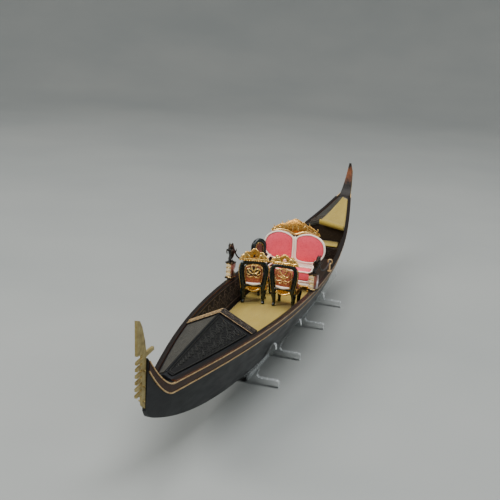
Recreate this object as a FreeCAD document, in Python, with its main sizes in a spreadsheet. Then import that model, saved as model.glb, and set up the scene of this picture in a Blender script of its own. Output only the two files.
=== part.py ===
import FreeCAD, Part, Sketcher
import math
import os
import re
from FreeCAD import Rotation, Vector

# Souvenir gondola, 1:24: a black hull with decks, carpets, a brass bow iron and a set of
# doll-size furniture, standing in two clear acrylic stands.
# Frame: +X towards the bow, +Y to port, +Z up, origin on the table under the middle of the box.
# The boat is drawn in its own frame (x = 0 at half length, z = 0 under the flat bottom) and is
# lifted onto the stands by its Placement.

doc = FreeCAD.newDocument("souvenir_gondola")
sheet = doc.addObject("Spreadsheet::Sheet", "Dimensions")

DIMENSIONS = [
    # the boat on its stands
    ("StandLift", 17.0, "height of the flat bottom above the table"),
    ("MidShift", -4.7, "brings the middle of the whole box over the origin"),
    # hull lines
    ("BeamStation", 10.0, "station of the greatest beam"),
    ("HalfBeam", 29.7, "half beam at the gunwale"),
    ("BowRun", 215.0, "greatest beam to the stem"),
    ("SternRun", 235.0, "greatest beam to the stern post"),
    ("EndHalf", 1.0, "half thickness of stem and stern post"),
    ("FlatRatio", 0.58, "flat bottom width over beam"),
    ("SideBulge", 0.03, "roundness of the flared sides over half beam"),
    ("SheerMid", 27.8, "depth amidships"),
    ("BowSheer", 3.2, "rise of the sheer to the stem"),
    ("SternSheer", 29.5, "rise of the sheer to the stern post"),
    ("BowRocker", 22.0, "rise of the bottom to the stem"),
    ("SternRocker", 44.0, "rise of the bottom to the stern post"),
    ("StemStart", 200.0, "station where the solid stem begins"),
    ("StemEnd", 221.5, "flat front face of the stem"),
    ("StemRise", 24.0, "rise of the stem head"),
    ("HornStart", -198.0, "station where the solid stern post begins"),
    ("HornTip", -216.5, "station of the stern post's tip"),
    ("HornTop", 76.5, "height of the stern post's tip"),
    ("TrimEnd", -206.0, "station where the trim ends on the stern post"),
    ("Wall", 1.8, "hull wall thickness"),
    ("BottomWall", 2.0, "hull bottom thickness"),
    # trim along the sheer
    ("BandDepth", 5.2, "height of the brown sheer band"),
    ("BandProud", 0.4, "how far the band stands out"),
    ("LineHeight", 0.75, "height of a gold line"),
    ("LineProud", 0.65, "how far a gold line stands out"),
    ("Gap", 0.06, "gap between pieces that are glued together"),
    ("CapWidth", 2.5, "width of the gunwale cap"),
    ("CapHeight", 1.0, "height of the gunwale cap"),
    # decks and cockpit
    ("ForedeckAft", 119.0, "aft edge of the foredeck"),
    ("MouldingAft", 112.0, "aft edge of the foredeck moulding"),
    ("ForedeckPitch", 0.50, "slope of the gabled foredeck"),
    ("AftdeckFore", -135.0, "forward edge of the aft deck"),
    ("AftdeckPitch", 0.32, "slope of the gabled aft deck"),
    ("DeckThick", 1.4, "deck thickness"),
    ("PanelThick", 0.6, "carved panel thickness"),
    ("FloorTop", 13.8, "top of the floorboards"),
    ("FloorThick", 1.6, "floorboard thickness"),
    ("CarpetThick", 0.9, "carpet thickness"),
    ("CarpetAft", -50.0, "aft edge of the cockpit carpet, behind the love seat"),
    ("LockerTop", 23.5, "top of the aft locker"),
    ("LockerFore", -117.0, "forward face of the aft locker"),
    # bow iron
    ("FerroThick", 1.3, "thickness of the bow iron"),
    ("ToothPitch", 3.3, "pitch of the bow iron's teeth"),
    # horse ornaments
    ("HorseX", 17.0, "station of the horse pedestals"),
    ("HorseY", 29.3, "pedestals' distance from the centre line"),
    ("PedestalSide", 5.0, "side of a pedestal"),
    ("PedestalTall", 13.2, "height of a pedestal above the gunwale cap"),
    ("RingX", -32.0, "station of the ring eyes"),
    ("RingY", 29.0, "ring eyes' distance from the centre line"),
    ("RingCentre", 36.3, "height of a ring's centre"),
    ("CordDiameter", 1.1, "diameter of the cords"),
    # acrylic stands
    ("PlateThick", 3.0, "acrylic sheet"),
    ("FootHalf", 27.0, "half length of a stand's foot"),
    ("FootTall", 4.6, "height of a stand's foot"),
    ("FrontForePlate", 79.0, "station of the front stand's fore plate"),
    ("FrontAftPlate", 29.0, "station of the front stand's aft plate"),
    ("RearForePlate", -36.0, "station of the rear stand's fore plate"),
    ("RearAftPlate", -92.0, "station of the rear stand's aft plate"),
    # furniture
    ("ChairWide", 19.0, "width of a gilt chair"),
    ("ChairDeep", 15.5, "depth of a gilt chair"),
    ("SeatLow", 10.2, "underside of a chair's seat rail"),
    ("RailTall", 2.3, "height of a seat rail"),
    ("BackTop", 30.0, "top of a chair's back frame"),
    ("ChairTop", 38.5, "top of a chair's crest"),
    ("PostSide", 2.0, "side of a back post"),
    ("SideSeat", 12.5, "side of the small chair's seat"),
    ("SideTop", 38.5, "top of the small chair's back"),
    ("SofaHalf", 22.8, "half width of the love seat's back"),
    ("SofaDeep", 16.0, "depth of the love seat"),
    ("SofaBase", 16.6, "half width of the love seat's base"),
    ("SofaPanelLow", 18.0, "bottom of the love seat's back panels"),
    ("SofaPanelTop", 38.6, "top of the love seat's back panels"),
    ("SofaTop", 49.0, "top of the love seat's crest"),
    ("Stand", 0.05, "clearance under the furniture's feet"),
]
for row, (alias, value, meaning) in enumerate(DIMENSIONS, start=1):
    sheet.set("A%d" % row, meaning)
    sheet.set("B%d" % row, str(value))
    sheet.setAlias("B%d" % row, alias)
doc.recompute()
ALIASES = [entry[0] for entry in DIMENSIONS]
NODES = {}


def size(alias):
    return float(sheet.get(alias))


def formula(text):
    """Turns the sheet's aliases in an expression into references to their cells."""
    return re.sub(r"\b(%s)\b" % "|".join(ALIASES), r"Dimensions.\1", str(text))


def bind(item, **properties):
    for name, text in properties.items():
        item.setExpression(name.replace("__", "."), formula(text))


def place(item, x="0", y="0", z="0", yaw=0.0):
    """Binds an object's place to the sheet, turned by yaw degrees about the vertical."""
    item.Placement = FreeCAD.Placement(Vector(0, 0, 0), Rotation(Vector(0, 0, 1), yaw))
    bind(item, Placement__Base__x=x, Placement__Base__y=y, Placement__Base__z=z)


def keep(label, item):
    item.Label = label
    NODES[label] = item
    return item


def on_boat(label, item):
    """Names a piece drawn in the boat's frame and lifts it onto the stands."""
    place(item, "MidShift", "0", "StandLift")
    return keep(label, item)


# ---------------------------------------------------------------- primitives and sketches

def box(name, length, width, height, x, y, z):
    item = doc.addObject("Part::Box", name)
    bind(item, Length=length, Width=width, Height=height)
    bind(item, Placement__Base__x=x, Placement__Base__y=y, Placement__Base__z=z)
    return item


def leg(name, foot, head, height, x, y):
    item = doc.addObject("Part::Cone", name)
    bind(item, Radius1=foot, Radius2=head, Height=height)
    bind(item, Placement__Base__x=x, Placement__Base__y=y, Placement__Base__z="Stand")
    return item


def fuse(name, pieces):
    item = doc.addObject("Part::MultiFuse", name)
    item.Shapes = pieces
    item.Refine = True
    return item


def cut(name, base, tool):
    item = doc.addObject("Part::Cut", name)
    item.Base = base
    item.Tool = tool
    return item


def rounded(name, base, radius):
    """Rounds every edge of a primitive, as on a stuffed pad."""
    doc.recompute()
    item = doc.addObject("Part::Fillet", name)
    item.Base = base
    item.Edges = [(index + 1, radius, radius) for index in range(len(base.Shape.Edges))]
    return item


def padded_outline(name, plane, points, thick, offset):
    """A Pad of a straight-sided outline, each corner bound to the sheet.

    plane is XY_Plane, XZ_Plane or YZ_Plane; the pad is centred on offset along its normal.
    """
    body = doc.addObject("PartDesign::Body", name)
    sketch = body.newObject("Sketcher::SketchObject", name + "_outline")
    origin_plane = [f for f in body.Origin.OriginFeatures if f.Role == plane][0]
    sketch.AttachmentSupport = [(origin_plane, "")]
    sketch.MapMode = "FlatFace"
    bind(sketch, AttachmentOffset__Base__z=offset)
    values = [(evaluate(a), evaluate(b)) for a, b in points]
    count = len(values)
    for index in range(count):
        start = Vector(*values[index], 0)
        end = Vector(*values[(index + 1) % count], 0)
        sketch.addGeometry(Part.LineSegment(start, end), False)
    for index in range(count):
        sketch.addConstraint(Sketcher.Constraint("Coincident", index, 2, (index + 1) % count, 1))
    for index, (first, second) in enumerate(points):
        for kind, text, value in (("DistanceX", first, values[index][0]),
                                  ("DistanceY", second, values[index][1])):
            number = sketch.addConstraint(Sketcher.Constraint(kind, -1, 1, index, 1, value))
            if any(alias in str(text) for alias in ALIASES):
                sketch.setExpression("Constraints[%d]" % number, formula(text))
    pad = body.newObject("PartDesign::Pad", name + "_pad")
    pad.Profile = sketch
    bind(pad, Length=thick)
    pad.Midplane = True
    body.Tip = pad
    return body


def evaluate(text):
    """The value of an expression on the sheet, in millimetres."""
    value = sheet.evalExpression(re.sub(r"\b(%s)\b" % "|".join(ALIASES), r"\1", str(text)))
    return float(getattr(value, "Value", value))


def solid_feature(name, shape):
    item = doc.addObject("Part::Feature", name)
    item.Shape = shape
    return item


# ---------------------------------------------------------------- hull lines

def run_fraction(x):
    """0 at the greatest beam, 1 at the stem or the stern post."""
    away = x - size("BeamStation")
    return min(1.0, away / size("BowRun") if away > 0 else -away / size("SternRun"))


def half_beam(x):
    fullness = (1 - run_fraction(x) ** 2.2) ** 1.2
    return size("EndHalf") + (size("HalfBeam") - size("EndHalf")) * fullness


def sheer(x):
    """Height of the gunwale, with the stem head."""
    fraction = run_fraction(x)
    if x > size("BeamStation"):
        height = size("SheerMid") + size("BowSheer") * fraction
        beyond = max(0.0, x - size("StemStart")) / 24.5
        return height + size("StemRise") * beyond ** 1.6
    return size("SheerMid") + size("SternSheer") * fraction ** 2.8


def bottom(x):
    """Height of the flat bottom, which curves up at both ends."""
    fraction = run_fraction(x)
    if x > size("BeamStation"):
        return size("BowRocker") * fraction ** 5.2 + 2.4 * max(0.0, (x - 216.0) / 5.0) ** 2
    return size("SternRocker") * fraction ** 4.73


def side_at(x, z):
    """Half width of the hull's outside at a height."""
    low, high = bottom(x), sheer(x)
    part = (z - low) / (high - low)
    beam = half_beam(x)
    flat = size("FlatRatio") * beam
    return flat + (beam - flat) * part + 4 * size("SideBulge") * beam * part * (1 - part)


def side_curve(x, side, inset, low, high):
    """The flared side between two heights, as a quadratic curve."""
    ends = [side_at(x, low) - inset, side_at(x, high) - inset]
    middle = side_at(x, (low + high) / 2) - inset
    shoulder = 2 * middle - sum(ends) / 2
    curve = Part.BezierCurve()
    curve.setPoles([Vector(x, side * ends[0], low), Vector(x, side * shoulder, (low + high) / 2),
                    Vector(x, side * ends[1], high)])
    return curve.toShape()


def stations(first, last, step=9.0):
    """Evenly spaced stations, about step apart."""
    count = max(2, int(math.ceil(abs(last - first) / step)) + 1)
    return [first + (last - first) * index / (count - 1) for index in range(count)]


def full_section(x, inset=0.0, floor=0.0, over=0.0):
    """A closed section: bottom, port side, top and starboard side."""
    low = bottom(x) + floor
    high = sheer(x)
    port = side_curve(x, 1, inset, low, high)
    starboard = side_curve(x, -1, inset, low, high)
    corners = [port.Vertexes[0].Point, port.Vertexes[1].Point]
    mirror = [Vector(x, -p.y, p.z) for p in corners]
    edges = [Part.LineSegment(mirror[0], corners[0]).toShape(), port]
    if over:
        tops = [p + Vector(0, 0, over) for p in (corners[1], mirror[1])]
        edges.append(Part.LineSegment(corners[1], tops[0]).toShape())
        edges.append(Part.LineSegment(tops[0], tops[1]).toShape())
        edges.append(Part.LineSegment(tops[1], mirror[1]).toShape())
    else:
        edges.append(Part.LineSegment(corners[1], mirror[1]).toShape())
    edges.append(starboard)
    return Part.Wire(Part.__sortEdges__(edges))


def loft(wires, ruled=False):
    return Part.makeLoft(wires, True, ruled, False, 5)


def polygon_loft(section, places):
    """A solid through straight-sided sections; section(x) lists its (y, z) corners."""
    wires = []
    for x in places:
        corners = [Vector(x, y, z) for y, z in section(x)]
        wires.append(Part.makePolygon(corners + corners[:1]))
    return loft(wires)


# ---------------------------------------------------------------- hull

def build_hull():
    start, end = size("HornStart"), size("StemStart")
    outside = loft([full_section(x) for x in stations(start, end, 14)])
    wall = size("Wall")
    inside = loft([full_section(x, wall, size("BottomWall"), 6.0)
                   for x in stations(start + 1.2, end - 1.2, 14)])
    on_boat("hull", solid_feature("Hull", outside.cut(inside)))
    gap = size("Gap")
    on_boat("stem_post", solid_feature("StemPost", loft(
        [full_section(x) for x in stations(end + gap, size("StemEnd"), 3.5)])))
    build_stern_post(start - gap)


def spline(points):
    curve = Part.BSplineCurve()
    curve.interpolate([Vector(x, 0, z) for x, z in points])
    return curve.toShape()


def prism(edges):
    """A slab of a closed outline in the XZ plane, wide enough to cross the whole boat."""
    face = Part.Face(Part.Wire(Part.__sortEdges__(edges)))
    return face.extrude(Vector(0, 60, 0)).translated(Vector(0, -30, 0))


def horn_body(start, proud):
    """The stern post before its outline is cut: the hull's sides, tapered to the tip."""
    top = size("HornTop") + 0.05
    places = stations(start, size("HornTip") - 6.25, 5)
    sides = loft([full_section(x, -proud, -2.0, top - sheer(x)) for x in places])
    low, tip = 44.0, size("HornTop")
    corners = [(-12.0, 10.0), (12.0, 10.0), (12.0, 30.0), (5.4 + proud, low), (0.9 + proud, tip),
               (0.5 + proud, tip + 2), (-0.5 - proud, tip + 2), (-0.9 - proud, tip),
               (-5.4 - proud, low), (-12.0, 30.0)]
    points = [Vector(start + 1, y, z) for y, z in corners]
    taper = Part.Face(Part.makePolygon(points + points[:1])).extrude(Vector(-40, 0, 0))
    return sides.common(taper)


def build_stern_post(start):
    """Solid stern post that sweeps up into a slender horn, and the gilt strips on its sides."""
    tip, top = size("HornTip"), size("HornTop")
    aft_edge = [(start, bottom(start)), (-208.0, 32.0), (-215.0, 38.5), (-220.5, 46.5),
                (-222.6, 54.5), (-221.4, 63.0), (-219.2, 70.5), (tip, top)]
    fore_edge = [(tip, top), (-215.4, 70.0), (-213.0, 63.0), (-209.4, 56.5), (-204.5, 51.6),
                 (start, sheer(start))]
    closing = Part.LineSegment(Vector(start, 0, fore_edge[-1][1]), Vector(start, 0, aft_edge[0][1]))
    outline = prism([spline(aft_edge), spline(fore_edge), closing.toShape()])
    post = horn_body(start, 0.0).common(outline)
    on_boat("stern_post", solid_feature("SternPost", post))
    inner = [(x + 2.1, z) for x, z in aft_edge[2:-1]]
    outer = [(x + 0.5, z) for x, z in aft_edge[2:-1]]
    ends = [Part.LineSegment(Vector(a[0], 0, a[1]), Vector(b[0], 0, b[1])).toShape()
            for a, b in ((inner[0], outer[0]), (inner[-1], outer[-1]))]
    strip = prism([spline(inner), spline(outer)] + ends)
    strips = horn_body(start, 0.45).common(strip).cut(horn_body(start, size("Gap")))
    on_boat("stern_strips", solid_feature("SternStrips", strips))


def side_strip(side, top, tall, proud, first, last):
    """A strip on the outside of the hull; top is its distance below the gunwale."""
    gap = size("Gap")

    def section(x):
        high = sheer(x) - top
        low = max(high - tall, bottom(x) + 0.2)
        inner_high, inner_low = side_at(x, high) + gap, side_at(x, low) + gap
        return [(side * inner_low, low), (side * (inner_low + proud), low),
                (side * (inner_high + proud), high), (side * inner_high, high)]
    turn = size("StemStart") - 10
    return [polygon_loft(section, stations(first, turn, 7)),
            polygon_loft(section, stations(turn, last, 2))]


def gunwale_cap(side):
    gap = size("Gap")

    def section(x):
        outer = half_beam(x) + size("LineProud")
        inner = outer - size("CapWidth")
        low, high = sheer(x) + gap, sheer(x) + size("CapHeight")
        return [(side * inner, low), (side * outer, low), (side * outer, high),
                (side * inner, high)]
    return polygon_loft(section, stations(size("HornStart") + 1, size("StemStart") - 1, 9))


def lining(side):
    """Carved lining inside the cockpit, from the floor to just under the gunwale."""
    inset = size("Wall") + size("Gap")
    thick = 0.8

    def section(x):
        low = size("FloorTop") + size("CarpetThick") + 0.3
        high = sheer(x) - 0.3
        outer_low, outer_high = side_at(x, low) - inset, side_at(x, high) - inset
        return [(side * outer_low, low), (side * outer_high, high),
                (side * (outer_high - thick), high), (side * (outer_low - thick), low)]
    return polygon_loft(section, stations(size("LockerFore") + 0.5, size("MouldingAft") - 0.5, 11))


def build_side_trim():
    bow, stern = size("StemEnd") - 1.0, size("TrimEnd")
    depth, line = size("BandDepth"), size("LineHeight")
    gap = size("Gap")
    bands, lines = [], []
    for name, side in (("port", 1), ("starboard", -1)):
        bands += side_strip(side, line + gap, depth - 2 * gap - line, size("BandProud"), stern, bow)
        lines += side_strip(side, 0.0, line, size("LineProud"), stern, bow)
        lines += side_strip(side, depth, line, size("LineProud"), stern, bow)
        on_boat(name + "_gunwale_cap", solid_feature(name + "Cap", gunwale_cap(side)))
        on_boat(name + "_lining", solid_feature(name + "Lining", lining(side)))
    on_boat("sheer_bands", solid_feature("SheerBands", Part.makeCompound(bands)))
    on_boat("gold_lines", solid_feature("GoldLines", Part.makeCompound(lines)))


# ---------------------------------------------------------------- decks, floor, carpets

def deck_edge(x):
    return half_beam(x) - size("CapWidth") + size("LineProud") - 0.15


def gable(x, pitch, raise_by, thick):
    """Chevron section of a gabled deck, undercut where it meets the hull's wall."""
    edge = deck_edge(x)
    low = sheer(x) + 0.3 + raise_by
    ridge = low + pitch * edge
    foot = edge - 0.9
    return [(-edge, low), (0, ridge), (edge, low), (foot, low - thick), (0, ridge - thick),
            (-foot, low - thick)]


def slope_panel(x, side, pitch, near, far, base, thick):
    """Section of a sheet lying on one slope of a gabled deck."""
    edge = deck_edge(x)
    low = sheer(x) + 0.3
    outer = max(near + 0.6, edge - far)

    def height(y):
        return low + pitch * (edge - y) + base
    return [(side * near, height(near)), (side * outer, height(outer)),
            (side * outer, height(outer) + thick), (side * near, height(near) + thick)]


def build_decks():
    thick, gap, panel = size("DeckThick"), size("Gap"), size("PanelThick")
    fore, aft = size("ForedeckAft"), size("AftdeckFore")
    pitch, aft_pitch = size("ForedeckPitch"), size("AftdeckPitch")
    on_boat("foredeck", solid_feature("Foredeck", polygon_loft(
        lambda x: gable(x, pitch, 0, thick), stations(fore + gap, size("StemStart") - 1.5, 11))))
    on_boat("foredeck_moulding", solid_feature("ForedeckMoulding", polygon_loft(
        lambda x: gable(x, pitch, 1.0, 2.6), stations(size("MouldingAft"), fore, 4))))
    on_boat("aft_deck", solid_feature("AftDeck", polygon_loft(
        lambda x: gable(x, aft_pitch, 0, thick), stations(size("HornStart") + 1.5, aft, 9))))
    for name, side in (("port", 1), ("starboard", -1)):
        on_boat("foredeck_%s_panel" % name, solid_feature(name + "ForePanel", polygon_loft(
            lambda x: slope_panel(x, side, pitch, 1.0, 1.5, gap, panel),
            stations(fore + 3, size("StemStart") - 4, 9))))
    on_boat("aft_deck_panel", solid_feature("AftPanel", polygon_loft(
        lambda x: slope_panel(x, -1, aft_pitch, 1.0, 1.5, gap, panel),
        stations(aft - 2, size("HornStart") + 18, 9))))
    laid = polygon_loft(
        lambda x: slope_panel(x, 1, aft_pitch, 0.4, 0.8, gap, size("CarpetThick")),
        stations(aft - 2.0, size("HornStart") + 5, 9))
    edge, low = deck_edge(aft - 2), sheer(aft - 2) + 0.3
    radius = 1.7
    start = Vector(aft - 2, 0.6, low + aft_pitch * (edge - 0.6) + radius + 0.12)
    end = Vector(aft - 2, edge - 1.0, low + aft_pitch * 1.0 + radius + 0.12)
    roll = Part.makeCylinder(radius, (end - start).Length, start, end - start)
    on_boat("stern_carpet", solid_feature("SternCarpet", laid.fuse(roll)))


def inner_outline(x, low, high, slack):
    """Corners of a cross plate inside the hull between two heights."""
    inset = size("Wall") + slack
    return [(side_at(x, low) - inset, low), (side_at(x, (low + high) / 2) - inset, (low + high) / 2),
            (side_at(x, high) - inset, high)]


def cross_plate(label, first, last, low, top, pitch):
    """A bulkhead or locker across the hull, with a flat or gabled top."""
    def section(x):
        right = inner_outline(x, low, top, 0.25)
        left = [(-y, z) for y, z in reversed(right)]
        peak = [(0, top + pitch * right[-1][0])]
        return right + peak + left
    on_boat(label, solid_feature(label.title().replace("_", ""),
                                 polygon_loft(section, stations(first, last, 6))))


def build_cockpit():
    floor, thick, carpet = size("FloorTop"), size("FloorThick"), size("CarpetThick")
    gap = size("Gap")
    fore, aft = size("MouldingAft"), size("AftdeckFore")

    def slab(low, high, inset):
        def section(x):
            wide = side_at(x, low) - size("Wall") - inset
            return [(-wide, low), (wide, low), (wide, high), (-wide, high)]
        return section
    on_boat("floorboards", solid_feature("Floorboards", polygon_loft(
        slab(floor - thick, floor, 0.3), stations(aft + 1, fore - 0.5, 9))))
    on_boat("cockpit_carpet", solid_feature("CockpitCarpet", polygon_loft(
        slab(floor + gap, floor + carpet, 1.6),
        stations(size("CarpetAft"), fore - 3.0, 9))))
    cross_plate("fore_bulkhead", fore + 0.6, fore + 2.4, 4.0, sheer(fore) - 1.6,
                size("ForedeckPitch"))
    cross_plate("aft_bulkhead", aft - 2.6, aft - 0.8, 7.0, sheer(aft) - 1.4,
                size("AftdeckPitch"))
    locker, top = size("LockerFore"), size("LockerTop")
    cross_plate("aft_locker", aft - 0.4, locker, floor + gap, top, 0.0)
    on_boat("locker_carpet", solid_feature("LockerCarpet", polygon_loft(
        slab(top + gap, top + carpet, 2.0), stations(aft + 0.6, locker - 0.5, 4))))


# ---------------------------------------------------------------- bow iron

def build_bow_iron():
    back, root, tip = 221.6, 226.0, 231.4
    outline = [("StemEnd + 0.1", 24.6), (224.4, 27.2), (root, 33.4)]
    for tooth in range(6):
        low = "33.6 + %d * ToothPitch" % tooth
        outline += [(root, low), (tip, low + " + 0.1"), (tip, low + " + 1.6"), (root, low + " + 1.9")]
    outline += [(root, 54.0), (tip + 0.2, 54.6), (tip + 1.2, 72.4), (229.4, 71.3), (226.6, 67.4),
                (223.4, 60.0), (back, 53.4), (213.0, 53.3), (212.6, 51.5), ("StemEnd + 0.1", 51.0)]
    # The XZ plane looks along -Y, so the outline's first coordinate is X and its second is Z.
    on_boat("bow_iron", padded_outline("BowIron", "XZ_Plane", outline, "FerroThick", "0"))
    pins = []
    for height in (29.5, 37.0, 45.0):
        pins.append(Part.makeCylinder(0.45, 1.0, Vector(224.2, -0.5 - size("FerroThick") / 2 - 0.5,
                                                       height), Vector(0, 1, 0)))
        pins.append(Part.makeCylinder(0.45, 1.0, Vector(224.2, size("FerroThick") / 2, height),
                                      Vector(0, 1, 0)))
    on_boat("bow_iron_rivets", solid_feature("BowIronRivets", Part.makeCompound(pins)))


# ---------------------------------------------------------------- horses, rings and cords

def rail_top(x):
    return sheer(x) + size("CapHeight") + size("Gap")


def build_horse(name, side):
    """Banded pedestal on the gunwale with a sea horse on it."""
    x, y, half = size("HorseX"), side * size("HorseY"), size("PedestalSide") / 2
    low = rail_top(x)
    tall = size("PedestalTall")
    block = Part.makeBox(2 * half, 2 * half, tall - 3, Vector(x - half, y - half, low + 0.8))
    slabs = [Part.makeBox(2 * half + 1, 2 * half + 1, 0.8, Vector(x - half - .5, y - half - .5, z))
             for z in (low, low + tall - 2.2)]
    block = block.fuse(slabs)
    on_boat(name + "_pedestal", solid_feature(name + "Pedestal", block.removeSplitter()))
    foot = low + tall - 1.4 + size("Gap")
    figure = Part.makeCone(2.0, 1.2, 4.0, Vector(x, y, foot))
    figure = figure.fuse([
        Part.makeSphere(2.6, Vector(x, y, foot + 5.2)),
        Part.makeCylinder(1.3, 5.5, Vector(x, y, foot + 5.5), Vector(0.25, 0, 1)),
        Part.makeSphere(1.9, Vector(x + 1.6, y, foot + 11.4)),
        Part.makeCone(1.5, 0.6, 3.6, Vector(x + 2.4, y, foot + 11.4), Vector(1, 0, -0.35))])
    root, stud = Vector(x + 0.6, y, foot + 9.8), Vector(x - 2.25, y, foot + 11.64)
    figure = figure.fuse([Part.makeCylinder(0.6, (stud - root).Length, root, stud - root),
                          Part.makeSphere(0.8, stud)])
    on_boat(name + "_sea_horse", solid_feature(name + "SeaHorse", figure))


def build_rings():
    """Eyes on the gunwales that the cords end in."""
    eyes = []
    for side in (1, -1):
        x, y = size("RingX"), side * size("RingY")
        low = rail_top(x)
        centre = size("RingCentre")
        ring = Part.makeTorus(1.5, 0.42, Vector(x, y, centre), Vector(1, 0, 0))
        post = Part.makeCylinder(0.55, centre - 1.6 - low, Vector(x, y, low))
        foot = Part.makeCylinder(1.4, 0.6, Vector(x, y, low))
        eyes.append(ring.fuse([post, foot]))
    on_boat("ring_eyes", solid_feature("RingEyes", Part.makeCompound(eyes)))


# Route of the port cord, from the stud on the horse's back down and aft to the ring eye.
CORD_ROUTE = [(14.2, 29.3, 51.8), (9.2, 29.4, 45.8), (3.0, 29.6, 40.9), (-4.2, 29.7, 37.2),
              (-12.2, 29.6, 35.0), (-20.4, 29.3, 34.6), (-27.9, 29.1, 35.8), (-31.3, 29.0, 37.2)]


def cord_path(points):
    """Straight runs joined by tangent arcs, each arc as large as its runs allow."""
    edges = []
    here = points[0]
    for before, corner, after in zip(points, points[1:], points[2:]):
        back, ahead = before - corner, after - corner
        turn = math.pi - back.getAngle(ahead)
        shorter = min(back.Length, ahead.Length)
        radius = 0.45 * shorter / math.tan(turn / 2)
        reach = 0.45 * shorter
        back.normalize()
        ahead.normalize()
        inwards = back + ahead
        inwards.normalize()
        enter, leave = corner + back * reach, corner + ahead * reach
        middle = corner + inwards * (radius / math.cos(turn / 2) - radius)
        edges.append(Part.LineSegment(here, enter).toShape())
        edges.append(Part.Arc(enter, middle, leave).toShape())
        here = leave
        print("  arc radius %.1f" % radius)
    edges.append(Part.LineSegment(here, points[-1]).toShape())
    return Part.Wire(edges)


def build_cord(name, side):
    points = [Vector(x, side * y, z) for x, y, z in CORD_ROUTE]
    path = cord_path(points)
    radius = size("CordDiameter") / 2
    ring = Part.Wire(Part.makeCircle(radius, points[0], points[1] - points[0]))
    tube = path.makePipeShell([ring], True, True)
    print("  %s cord: length %.2f, volume %.2f against %.2f" % (
        name, path.Length, tube.Volume, math.pi * radius ** 2 * path.Length))
    on_boat(name + "_cord", solid_feature(name + "Cord", tube))


# ---------------------------------------------------------------- acrylic stands

def cradle_half(x):
    """Port half of a cradle plate's outline: foot, waist, arm and the seat under the hull."""
    lift = size("StandLift")
    seat = lift + bottom(x) - 0.15
    low_side = side_at(x, bottom(x) + 1.0) + 0.5
    wide = side_at(x, 11.0) + 0.5
    flat = size("FlatRatio") * half_beam(x)
    return [("FootHalf", 0), ("FootHalf", "FootTall - 0.8"), ("FootHalf - 1.2", "FootTall"),
            (14.0, "FootTall"), (12.5, "FootTall + 1.6"), (14.0, "FootTall + 6"),
            (low_side + 3.2, seat + 1.5), (wide + 2.9, seat + 8.0), (wide + 2.4, seat + 11.2),
            (wide + 1.2, seat + 11.8), (wide + 0.3, seat + 10.8), (low_side + 0.2, seat + 1.0),
            (flat + 0.3, seat)]


def build_stands():
    for label, alias in (("front_stand_fore_cradle", "FrontForePlate"),
                         ("front_stand_aft_cradle", "FrontAftPlate"),
                         ("rear_stand_fore_cradle", "RearForePlate"),
                         ("rear_stand_aft_cradle", "RearAftPlate")):
        half = cradle_half(size(alias))
        mirror = [("-(%s)" % a, b) for a, b in reversed(half)]
        plate = padded_outline(label.title().replace("_", ""), "YZ_Plane", half + mirror,
                               "PlateThick", "0")
        place(plate, "MidShift + " + alias)
        keep(label, plate)
    for label, fore, aft in (("front_stand_stretcher", "FrontForePlate", "FrontAftPlate"),
                             ("rear_stand_stretcher", "RearForePlate", "RearAftPlate")):
        bar = box(label.title().replace("_", ""), "%s - %s - PlateThick - 0.1" % (fore, aft), "12",
                  "PlateThick", "MidShift + %s + PlateThick / 2 + 0.05" % aft, "-6", "0")
        keep(label, bar)


# ---------------------------------------------------------------- furniture

def furnish(label, item, x, y, yaw):
    """Names a furniture piece and stands it on the cockpit carpet."""
    place(item, "MidShift + (%s)" % x, y, "StandLift + FloorTop + CarpetThick", yaw)
    return keep(label, item)


def flat_outline(points, x, thick):
    """A plate standing across the x axis; points are (y, z), a third entry makes an arc."""
    edges = []
    for index, point in enumerate(points):
        following = points[(index + 1) % len(points)]
        start = Vector(x, point[0], point[1])
        end = Vector(x, following[0], following[1])
        if len(point) > 2:
            edges.append(Part.Arc(start, Vector(x, point[2], point[3]), end).toShape())
        else:
            edges.append(Part.LineSegment(start, end).toShape())
    return Part.Face(Part.Wire(edges)).extrude(Vector(thick, 0, 0))


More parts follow.
